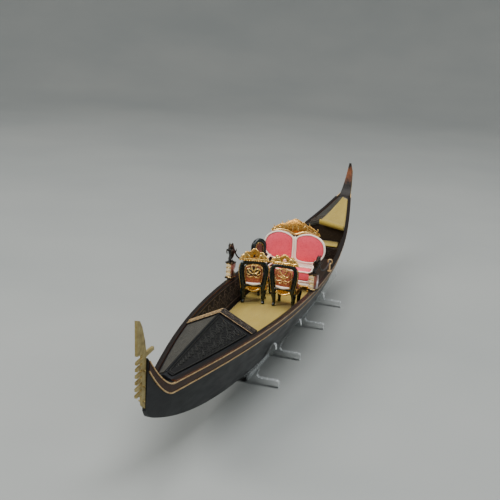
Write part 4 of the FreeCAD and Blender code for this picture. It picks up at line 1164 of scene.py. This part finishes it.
def arch(half, foot, shoulder, top, count=16, belly=0.0):
    """A closed outline: flat foot, bowed sides, arched top; counter-clockwise."""
    points = [Vector((-half[0], foot)), Vector((0, foot)), Vector((half[0], foot))]
    for i in range(1, 7):
        t = i / 6
        points.append(Vector((between(half[0], half[1], t) + belly * math.sin(math.pi * t),
                              between(foot, shoulder, t))))
    for i in range(1, count):
        a = math.pi * i / count
        points.append(Vector((half[1] * math.cos(a), shoulder + (top - shoulder) * math.sin(a))))
    for i in range(6, 0, -1):
        t = i / 6
        points.append(Vector((-between(half[0], half[1], t) - belly * math.sin(math.pi * t),
                              between(foot, shoulder, t))))
    return points


def even(outline, count):
    """The closed outline again, with evenly spaced points."""
    closed = outline + outline[:1]
    lengths = [(b - a).length for a, b in zip(closed, closed[1:])]
    total, made, run, i = sum(lengths), [], 0.0, 0
    for k in range(count):
        goal = total * k / count
        while run + lengths[i] < goal:
            run += lengths[i]
            i += 1
        made.append(closed[i].lerp(closed[i + 1], (goal - run) / lengths[i]))
    return made


class Pad:
    """A stuffed pad: two crowned faces that meet in a seam, swelled by a cloth simulation at
    24 times the size, which is the size of the furniture that it copies."""

    SCALE = 24.0
    FRAMES = 14

    def __init__(self, name, body, slot, outline, warp, place, thick, replaces, crown=0.5, rings=9):
        outline = even(outline, 72)
        middle = sum(outline, Vector((0, 0))) / len(outline)
        shape = Shape(place)
        levels = [between(0.08, 1.0, i / rings) for i in range(rings + 1)]
        rows = []
        for sign in (-1, 1):
            spread = levels if sign < 0 else levels[::-1]
            for share in spread:
                height = sign * (thick * 0.32 + thick * crown * 0.5 * (1 - share ** 2.6))
                if share == 1.0:
                    height = sign * thick * 0.22
                rows.append([warp(*(middle + (p - middle) * share), height) for p in outline])
        shape.rings(rows)
        made = shape.piece(name, body, [slot], replaces)
        width = len(outline)
        seam = range(rings * width, (rings + 2) * width)
        self.swell(made, seam, thick)
        extra = made.modifiers.new("Subdivision", "SUBSURF")
        extra.levels = extra.render_levels = 1

    def swell(self, piece, seam, thick):
        """Runs the simulation with the seam held and moves the pad's own points."""
        rest = [v.co.copy() for v in piece.data.vertices]
        centre = sum(rest, Vector()) / len(rest)
        mesh = bpy.data.meshes.new("swelling")
        mesh.from_pydata([(p - centre) * self.SCALE for p in rest], [],
                         [tuple(f.vertices) for f in piece.data.polygons])
        double = put(bpy.data.objects.new("swelling", mesh))
        held = double.vertex_groups.new(name="seam")
        held.add(list(seam), 1.0, "REPLACE")
        cloth = double.modifiers.new("Cloth", "CLOTH")
        cloth.settings.quality = 5
        cloth.settings.mass = 0.3
        cloth.settings.tension_stiffness = cloth.settings.compression_stiffness = 18
        cloth.settings.bending_stiffness = 1.5
        cloth.settings.vertex_group_mass = "seam"
        cloth.settings.use_pressure = True
        cloth.settings.uniform_pressure_force = 4.0
        cloth.settings.effector_weights.gravity = 0.0
        cloth.collision_settings.use_collision = False
        cloth.point_cache.frame_start, cloth.point_cache.frame_end = 1, self.FRAMES
        scene = bpy.context.scene
        for step in range(1, self.FRAMES + 1):
            scene.frame_set(step)
        swollen = double.evaluated_get(bpy.context.evaluated_depsgraph_get()).data
        limit = thick * 0.2 * MM
        for vertex, old, new in zip(piece.data.vertices, rest, swollen.vertices):
            move = new.co / self.SCALE + centre - old
            if move.length > limit:
                move *= limit / move.length
            vertex.co = old + move
        scene.frame_set(1)
        bpy.data.objects.remove(double)
        bpy.data.meshes.remove(mesh)


SHELL_SPREAD = 150.0                           # degrees


def shell(shape, warp, centre, reach, ribs, thick):
    """A scallop: ribs that fan upwards from a centre, each ending in a bead."""
    for i in range(ribs):
        lean = math.radians(between(90 - SHELL_SPREAD / 2, 90 + SHELL_SPREAD / 2, i / (ribs - 1)))
        long = reach * (0.78 + 0.22 * math.cos((i / (ribs - 1) - 0.5) * math.pi))
        out = Vector((math.cos(lean), math.sin(lean)))
        path = [centre + out * (long * t) for t in (0.18, 0.4, 0.6, 0.8, 1.0)]
        shape.stroke(path, (thick * 0.5, thick * 0.8, thick * 1.1, thick * 1.5), warp, 0.9, 8,
                     both=True)


def both_sides(shape, path, radius, warp):
    """The stroke and its mirror image, seen from the front and the back."""
    for line in (path, mirrored(path)):
        shape.stroke(line, radius, warp, 0.8, 8, both=True)


def filigree(shape, warp, outline, count, seed, radius=0.42, clear=(Vector((0, 0)), 0.0)):
    """Small leaf curls scattered inside a plane outline, the same on both sides of u = 0. They
    keep clear of a round place."""
    rng = random.Random(seed)
    us, vs = [p.x for p in outline], [p.y for p in outline]
    made = 0
    while made < count:
        u, v = rng.uniform(0, max(us)), rng.uniform(min(vs), max(vs))
        crossings = 0
        for a, b in zip(outline, outline[1:] + outline[:1]):
            if (a.y > v) != (b.y > v) and u < a.x + (v - a.y) / (b.y - a.y) * (b.x - a.x):
                crossings += 1
        if crossings % 2 == 0 or (Vector((u, v)) - clear[0]).length < clear[1]:
            continue
        leaf = curl((u, v), rng.uniform(0, 360), rng.uniform(1.6, 3.0), 0.25, 1.7, 9)
        both_sides(shape, leaf, (radius * 0.5, radius, radius * 0.8, radius * 0.3), warp)
        made += 1


def chair_crest(place, variant):
    """Gilt crest: a pediment pierced by a small keyhole, under garland, C scrolls, leaves and a
    scallop. The two chairs' crests differ in height."""
    crest = Shape(place)
    warp = lambda u, v, w: (-BACK_BOW + w, u, CREST_FOOT + v)
    top = 8.6 if variant else 6.9
    half = [(0, top), (1.5, top * 0.93), (3.2, top * 0.76), (5.4, top * 0.66), (7.4, top * 0.42),
            (9.2, top * 0.24), (10.0, 0.1), (5.0, -0.1), (0, -0.1)]
    bed = [Vector((-u, v)) for u, v in half] + [Vector(p) for p in half[-2:0:-1]]
    bed = even(bed, 72)
    eye = Vector((0, 3.3))
    hole = []
    for p in bed:
        out = (p - eye).normalized()
        hole.append(eye + out * (1.2 + 0.32 * math.cos(3 * (math.atan2(out.y, out.x) - math.pi / 2))))
    # the plate's low tone makes the gilt darker behind the strokes: painted shade, partly wash
    crest.ring_plate(bed, hole, warp, -0.42, 0.42, 0.12, tone=0.45)
    garland = smooth([(9.9, 0.4), (8.6, 1.5), (6.2, 0.9), (3.6, 1.3), (0, 0.9), (-3.6, 1.3),
                      (-6.2, 0.9), (-8.6, 1.5), (-9.9, 0.4)], 8)
    crest.stroke(garland, (0.6, 0.8, 0.85, 0.8, 0.6), warp, 0.9, 8,
                 both=True)
    ease = top / 8.6
    scrolls = (((9.6, 1.0), 118, 10.0, 0.08, 1.4), ((5.6, 1.6), 64, 7.0, 0.12, 1.6),
               ((3.0, 1.4), 80, 6.5, -0.16, -1.1), ((7.0, 2.0), 140, 5.0, -0.1, -1.3))
    for at, heading, long, bend, last in scrolls:
        both_sides(crest, curl(at, heading, long * ease, bend, last, 24, 2.2), (0.55, 0.85, 0.7, 0.4),
                   warp)
    filigree(crest, warp, inset(bed, 0.5), 18, 6 if variant else 9, 0.45, (eye, 2.0))
    shell(crest, warp, Vector((0, top - 2.6)), 2.6, 7 if variant else 9, thick=0.36)
    for u in (0.0, 1.5, 3.1, 4.8, 6.6, 8.4):
        for sign in ((1, -1) if u else (1,)):
            crest.bead((-BACK_BOW - 0.6, sign * u, CREST_FOOT + 0.3), 0.4)
            crest.bead((-BACK_BOW + 0.6, sign * u, CREST_FOOT + 0.3), 0.4)
    return crest


def chair_back_figure(shape, warp, outline, variant):
    """Raised work on a back panel: a leafy scroll on a dark field over the upper half, or a
    spray around a flower. The dark field is partly the panel's dark ground and partly painted
    shade between the gilt strokes."""
    if variant:
        field = [Vector((p.x, max(p.y, 20.4))) for p in inset(outline, 0.9)]
        # dark field: partly the panel's own ground, partly painted shade between the strokes
        shape.ribbon(field, warp, -0.15, 0.08, 0.05, 2)
        strokes = (((0.3, 21.6), 15, 6.5, 0.1, 1.2), ((0.3, 24.0), 50, 5.0, 0.1, 1.5),
                   ((0.3, 22.6), 75, 4.0, -0.1, -1.5), ((2.4, 21.2), -10, 3.0, 0.3, 1.5),
                   ((2.6, 25.0), 10, 2.6, -0.3, -1.6), ((0.2, 20.2), -35, 5.0, 0.1, 1.1))
        for at, heading, long, bend, last in strokes:
            path = curl(at, heading, long, bend, last, 18)
            for line in (path, mirrored(path)):
                shape.stroke(line, (0.3, 0.55, 0.45, 0.2), warp, 0.8, 6, 1)
    else:
        for k in range(8):
            shape.stroke(curl((0, 22.0), 45 * k + 12, 2.1, 0.1, 0.7, 7), (0.2, 0.45, 0.4, 0.2), warp,
                         0.8, 6, 1)
        strokes = (((0.8, 20.0), -30, 5.6, 0.1, 1.1), ((0.8, 24.0), 35, 4.2, 0.1, 1.4),
                   ((1.8, 22.0), 0, 3.4, 0.25, 1.4), ((0.4, 19.2), -70, 3.2, 0.3, 1.2))
        for at, heading, long, bend, last in strokes:
            path = curl(at, heading, long, bend, last, 16)
            for line in (path, mirrored(path)):
                shape.stroke(line, (0.3, 0.48, 0.35, 0.18), warp, 0.8, 6, 1)


def cabriole(shape, x, y, high, foot_out, thick):
    """A curved leg from the seat rail to a small scrolled foot."""
    sx, sy = math.copysign(1, x), math.copysign(1, y)
    path = smooth([(x - 0.1 * sx, y - 0.1 * sy, high), (x + 0.45 * sx, y + 0.35 * sy, high * 0.8),
                   (x + 0.1 * sx, y + 0.1 * sy, high * 0.45), (x - 0.15 * sx, y, high * 0.2),
                   (x + foot_out * sx, y + 0.25 * sy, 0.62)], 5)
    shape.tube(path, (thick * 1.2, thick * 1.15, thick * 0.9, thick * 0.65, thick * 0.78), 10,
               up=(1, 0, 0))


def gilt_chair(name, x, y, yaw, variant):
    """Black lacquered chair with gilt crest, apron and edges, and a brocade back and seat."""
    place = furniture(x, y, yaw)
    work = Shape(place)
    for lx in (5.5, -5.5):
        for ly in (6.85, -6.85):
            cabriole(work, lx, ly, 10.6, 0.5, 1.5)
    seat = plane((-6.6, -7.4), (6.2, -7.9), (6.9, 0), (6.2, 7.9), (-6.6, 7.4), (-6.9, 0))
    work.ribbon(even(seat, 36), flatways, 10.25, 12.5, 0.35)
    back = lambda u, v, w: (-BACK_BOW + w, u, v)
    stile = smooth([(6.7, 10.4), (7.1, 13.2), (7.9, 18.0), (8.5, 23.0), (8.3, 26.6), (7.0, 28.5),
                    (4.0, 29.1), (0, 29.4), (-4.0, 29.1), (-7.0, 28.5), (-8.3, 26.6), (-8.5, 23.0),
                    (-7.9, 18.0), (-7.1, 13.2), (-6.7, 10.4)], 6)
    work.stroke(stile, (1.5, 1.9, 2.0, 1.9, 1.6, 1.3, 1.3, 1.3, 1.6, 1.9, 2.0, 1.9, 1.5), back, 0.5, 12,
                both=True)
    work.stroke([Vector((u, 13.2 - 0.006 * u * u)) for u in range(-7, 8)], 0.95, back, 0.9, 10, both=True)
    inner = arch((4.6, 5.6), 14.4, 25.0, 27.4, 18, 0.4)
    for w in (-0.9, 0.9):
        face = lambda u, v, z, w=w: back(u, v, w + z)
        work.stroke(inset(even(inner, 60), -0.25), 0.26, face, 1.0, 6, 1, closed=True, both=True)
        for sign in (1, -1):
            edge_line = [Vector((sign * (abs(p.x) + 1.55), p.y)) for p in stile[2:28]]
            work.stroke(edge_line, 0.26, lambda u, v, z, w=w: back(u, v, w * 0.6 + z), 1.0, 6, 1, both=True)
    for sign in (1, -1):
        work.stroke([Vector((u, sign * 7.75)) for u in (-6.3, -3, 0, 3, 6.0)], 0.22,
                    lambda u, v, w: (u, v, 12.5 + w), 1.0, 6, 1, both=True)
    work.piece(name + "_woodwork", name, ["black_chair_lacquer", "gilt"], [name + "_frame"])

    apron = Shape(place)
    sides = ((lambda u, v, w: (-7.15 - w, u, v), 8.3), (lambda u, v, w: (7.0 + w, u, v), 8.3),
             (lambda u, v, w: (u, 8.15 + w, v), 6.6), (lambda u, v, w: (u, -8.15 - w, v), 6.6))
    for warp, half in sides:
        hang = smooth([(half, 12.1), (half * 0.8, 10.4), (half * 0.55, 10.9), (half * 0.3, 9.7),
                       (0, 9.1), (-half * 0.3, 9.7), (-half * 0.55, 10.9), (-half * 0.8, 10.4),
                       (-half, 12.1)], 7)
        bed = hang + [Vector((-half, 12.7)), Vector((half, 12.7))]
        # the plate's low tone makes the gilt darker behind the strokes: painted shade, partly wash
        apron.ribbon(bed[::-1], warp, -0.35, 0.3, 0.1, tone=0.35)
        apron.stroke(hang, (0.5, 0.62, 0.7, 0.62, 0.5), warp, 0.8, 8,
                     both=True)
        apron.stroke(straight(half, 12.45, 8), 0.42, warp, 0.9, 8, both=True)
        both_sides(apron, curl((half * 0.25, 10.6), 10, half * 0.8, 0.15, 1.5, 20), (0.3, 0.5, 0.45, 0.3),
                   warp)
        both_sides(apron, curl((half * 0.95, 11.4), 200, half * 0.55, 0.1, -1.6, 18), (0.3, 0.5, 0.4, 0.25),
                   warp)
        shell(apron, lambda u, v, w: warp(u, 21.1 - v, w), Vector((0, 9.6)), 1.9, 5, thick=0.26)
        apron.stroke(straight(half, 11.45, 8), 0.34, warp, 0.5, 8, both=True)
    apron.piece(name + "_gilt_apron", name, ["gilt"], [name + "_apron"])

    chair_crest(place, variant).piece(name + "_gilt_crest", name, ["gilt"],
                                                   [name + "_crest"])
    seat_pad = plane((-5.7, -6.6), (5.5, -7.1), (6.0, 0), (5.5, 7.1), (-5.7, 6.6), (-5.9, 0))
    Pad(name + "_seat_cushion", name, "rose_brocade", seat_pad,
        lambda u, v, w: (u, v, 14.0 + w), place, 2.9, [name + "_seat_pad"])
    Pad(name + "_back_cushion", name, "rose_brocade", inner, back, place, 2.3,
        [name + "_back_pad"], crown=0.35)
    trim = Shape(place)
    trim.stroke([Vector((u, 15.3 - 0.8 * math.cos(u / 4.9 * 1.5))) for u in
                 (-4.55 + 0.65 * i for i in range(15))], (0.5, 0.9, 1.05, 0.9, 0.5),
                lambda u, v, w: back(u, v, -1.2 - w), 0.7, 8, both=True)
    chair_back_figure(trim, lambda u, v, w: back(u, v, -1.3 - w), even(inner, 60), variant)
    trim.piece(name + "_back_trim", name, ["cream_paint", "gilt", "dark_bronze"])


def small_chair(name, x, y, yaw):
    """Small black chair with an arched back and red-brown velvet."""
    place = furniture(x, y, yaw)
    work = Shape(place)
    for lx in (4.6, -4.6):
        for ly in (4.65, -4.65):
            cabriole(work, lx, ly, 9.4, 0.4, 1.2)
    seat = plane((-6.1, -5.7), (5.9, -6.1), (6.2, 0), (5.9, 6.1), (-6.1, 5.7))
    work.ribbon(even(seat, 36), flatways, 9.25, 11.5, 0.35)
    back = lambda u, v, w: (-SMALL_BACK + w, u, v)
    outer = even(arch((5.5, 6.2), 11.4, 32.2, 38.4, 20), 72)
    inner = even(arch((2.4, 2.9), 15.0, 31.6, 35.2, 20), 72)
    work.ring_plate(outer, inner, back, -0.85, 0.85, 0.35)
    for w in (-0.86, 0.86):
        face = lambda u, v, z, w=w: back(u, v, w + z)
        work.stroke(inset(inner, -0.3), 0.16, face, 1.0, 6, 1, closed=True, both=True)
    work.piece(name + "_woodwork", name, ["black_chair_lacquer", "gilt"], [name + "_frame"])
    Pad(name + "_back_cushion", name, "red_brown_fabric", inset(inner, 0.05), back, place, 2.2,
        [name + "_back_pad"], crown=0.4)
    pad = plane((-4.0, -5.2), (5.3, -5.5), (5.6, 0), (5.3, 5.5), (-4.0, 5.2))
    Pad(name + "_seat_cushion", name, "red_brown_fabric", pad, lambda u, v, w: (u, v, 12.55 + w), place,
        2.1, [name + "_seat_pad"])


def shield(grow):
    """Outline of one padded back panel, on the port side of the middle."""
    outline = smooth([(2.3, 21.4), (2.2, 27.0), (2.2, 33.2), (3.6, 35.4), (7.6, 37.0), (12.0, 37.3),
                     (16.6, 35.9), (20.0, 33.0), (21.3, 28.8), (21.0, 25.0), (18.9, 21.6), (15.4, 19.6),
                     (10.6, 18.8), (6.0, 18.9), (3.2, 19.6)], 6, closed=True)
    area = sum(a.x * b.y - b.x * a.y for a, b in zip(outline, outline[1:] + outline[:1]))
    return inset(outline if area > 0 else outline[::-1], -grow)


def love_seat():
    """Cream and pink two-seat sofa with shield backs, piping, armrests and a gilt crest."""
    place = furniture(-20.0, 1.3, 0.0)
    back = lambda u, v, w: (-SOFA_BACK + w, u, v)
    body = "love_seat"
    work = Shape(place)
    for side in (1, -1):
        turn = (lambda p: p) if side > 0 else (lambda p: Vector((-p.x, p.y)))
        order = (lambda row: row) if side > 0 else (lambda row: row[::-1])
        inner = order([turn(p) for p in even(shield(0.65), 96)])
        outer = order([turn(p) for p in even(shield(1.6), 96)])
        work.ring_plate(outer, inner, back, -0.85, 0.75, 0.25)
        work.stroke(inset(outer, 0.42), 0.62, lambda u, v, w: back(u, v, 0.85 + w), 0.95, 8, closed=True)
    work.ribbon(plane((-1.15, 17.2), (1.15, 17.2), (1.15, 35.0), (0.0, 36.2), (-1.15, 35.0)),
                back, -0.85, 0.75, 0.25)
    for u in (-0.55, 0.55):
        work.stroke([Vector((u, 18.0 + i * 1.7)) for i in range(11)], 0.42,
                    lambda u, v, w: back(u, v, 0.75 + w), 0.8, 8)
    work.ribbon(plane((-15.6, 14.8), (15.6, 14.8), (16.4, 18.8), (9.0, 18.0), (0.0, 19.2),
                      (-9.0, 18.0), (-16.4, 18.8)), back, -0.85, 0.55, 0.25)
    for row, radius in ((15.6, 0.45), (17.3, 0.35)):
        work.stroke(straight(15.4, row, 10), radius,
                    lambda u, v, w: back(u, v, 0.55 + w), 0.85, 8)
    board = plane((-15.6, 4.8), (15.6, 4.8), (15.6, 15.4), (-15.6, 15.4))
    work.ribbon(board, back, -0.85, 0.9, 0.25)
    seat = plane((-15.8, -18.2), (-0.4, -17.8), (0.3, 0.0), (-0.4, 17.8), (-15.8, 18.2))
    work.ribbon(even(seat, 60), flatways, 4.1, 6.1, 0.4)
    work.piece("love_seat_woodwork", body, ["cream_paint"], ["love_seat_frame"])

    feet = Shape(place)
    for lx in (-14.2, -1.7):
        for ly in (-15.2, 0.0, 15.2):
            path = smooth([(lx, ly, 4.4), (lx + 0.3, ly, 3.2), (lx, ly, 1.8), (lx + 0.4, ly, 0.75)], 4)
            feet.tube(path, (1.3, 1.1, 0.7, 0.75), 10, up=(0, 1, 0))
    front = lambda u, v, w: (0.35 + w - 0.0016 * u * u, u, v)
    feet.stroke([Vector((17.2 * i / 14, 4.5 + 0.35 * math.cos(i * 0.9))) for i in range(-14, 15)], 0.42,
                front, 0.6, 8, both=True)
    for side in (1, -1):
        flank = lambda u, v, w, side=side: (u, side * (18.2 + w), v)
        feet.stroke([Vector((-15.4 + 1.5 * i, 4.5 + 0.35 * math.cos(i * 0.9))) for i in range(11)], 0.4,
                    flank, 0.6, 8, both=True)
    feet.piece("love_seat_gilt_feet", body, ["gilt"])

    for name, side in (("port", 1), ("starboard", -1)):
        outline = [Vector((side * p.x, p.y)) for p in shield(0.75)]
        outline = outline if side > 0 else outline[::-1]
        Pad("love_seat_%s_shield" % name, body, "pink_fabric", outline, back, place, 3.0,
            ["love_seat_%s_back" % name], crown=0.3, rings=12)

    cushion = plane((-12.9, -15.9), (-0.9, -16.1), (-0.5, 0), (-0.9, 16.1), (-12.9, 15.9))
    Pad("love_seat_seat_cushion", body, "pink_fabric", cushion, lambda u, v, w: (u, v, 10.9 + w), place,
        8.8, ["love_seat_cushion"], crown=0.14)
    piping = Shape(place)
    rim = even(cushion, 80)
    for height, radius, reach in ((14.2, 0.6, 0.1), (7.3, 0.6, -0.1)):
        piping.stroke(inset(rim, reach), radius, lambda u, v, w, h=height: (u, v, h + w), 1.0, 8,
                      closed=True, both=True)
    for across in (-16.0, 16.0):
        piping.tube([(-0.9, across, 7.3), (-0.75, across, 10.8), (-0.9, across, 14.2)], 0.6, 10)
    piping.piece("love_seat_piping", body, ["cream_paint"])

    for name, side in (("port", 1), ("starboard", -1)):
        arm = Shape(place)
        y = side * 17.4
        arm.tube(smooth([(-13.0, y, 20.1), (-9.0, y, 20.3), (-5.6, y, 19.6), (-3.0, y, 17.4),
                         (-1.9, y, 13.6), (-1.6, y, 9.6), (-1.6, y, 6.7)], 6),
                 (0.9, 1.05, 1.1, 0.9, 0.8, 0.85), 12, up=(0, 1, 0))
        arm.piece("love_seat_%s_armrest" % name, body, ["cream_paint"], ["love_seat_%s_arm" % name], 1)
        knob = Shape(place)
        knob.bead((-1.9, y, 15.0), 1.25, rings=8, sides=16)
        knob.bead((-1.6, y, 12.4), 0.95, rings=8, sides=16, tall=1.4)
        for height, radius in ((13.7, 1.15), (11.0, 1.1), (7.0, 1.2)):
            knob.tube(circle(0.95 * radius, 20, (-1.75, y, height)), 0.26, 6, closed=True, slot=1)
        knob.piece("love_seat_%s_knob" % name, body, ["cream_paint", "gilt"])

    crest = Shape(place)
    upper = [(17.9, 39.4), (16.0, 41.4), (13.2, 43.0), (10.4, 44.6), (7.6, 45.0), (5.0, 46.8),
             (2.4, 48.2), (0, 49.0)]
    lower = [(2.6, 37.4), (6.0, 38.9), (10.8, 39.3), (14.6, 38.5), (17.9, 37.8)]
    half = [Vector(p) for p in [(0, 36.8)] + lower + upper]
    bed = half + [Vector((-p.x, p.y)) for p in half[-2:0:-1]]
    # the plate's low tone makes the gilt darker behind the strokes: painted shade, partly wash
    crest.ribbon(even(bed, 120), back, -0.42, 0.42, 0.12, tone=0.36)
    line = smooth([(18.2, 38.6), (14.6, 39.2), (10.8, 40.0), (6.0, 39.7), (2.6, 38.4), (0, 37.6),
                   (-2.6, 38.4), (-6.0, 39.7), (-10.8, 40.0), (-14.6, 39.2), (-18.2, 38.6)], 8)
    crest.stroke(line, (0.5, 0.7, 0.8, 0.8, 0.8, 0.7, 0.5), back, 0.9, 8,
                 both=True)
    scrolls = (((18.0, 39.0), 140, 8.0, 0.1, 1.6), ((14.0, 39.6), 125, 8.5, 0.08, 1.5),
               ((9.6, 40.6), 105, 9.5, 0.05, 1.4), ((5.2, 40.4), 85, 9.0, -0.12, -1.4),
               ((3.0, 39.2), 115, 8.5, -0.05, -1.3), ((12.4, 39.4), 30, 5.0, 0.2, 1.7),
               ((6.6, 39.8), 20, 6.0, 0.2, 1.6), ((1.6, 38.6), 75, 8.5, 0.05, 0.9))
    for at, heading, long, bend, last in scrolls:
        both_sides(crest, curl(at, heading, long, bend, last, 24, 2.0), (0.45, 0.7, 0.55, 0.3), back)
    filigree(crest, back, inset(even(bed, 120), 0.4), 105, 12, 0.38)
    shell(crest, back, Vector((0, 45.0)), 3.8, 9, thick=0.34)
    crest.piece("love_seat_gilt_crest", body, ["gilt"], ["love_seat_crest"])


gilt_chair("port_chair", 13.5, 10.5, 176.0, False)
gilt_chair("starboard_chair", 14.5, -12.5, 192.0, True)
small_chair("side_chair", -4.2, -13.3, 50.0)
love_seat()

low, high = CAD_BOX
new_low, new_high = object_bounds()
{"cad": [list(low), list(high)], "visual": [list(new_low), list(new_high)]}
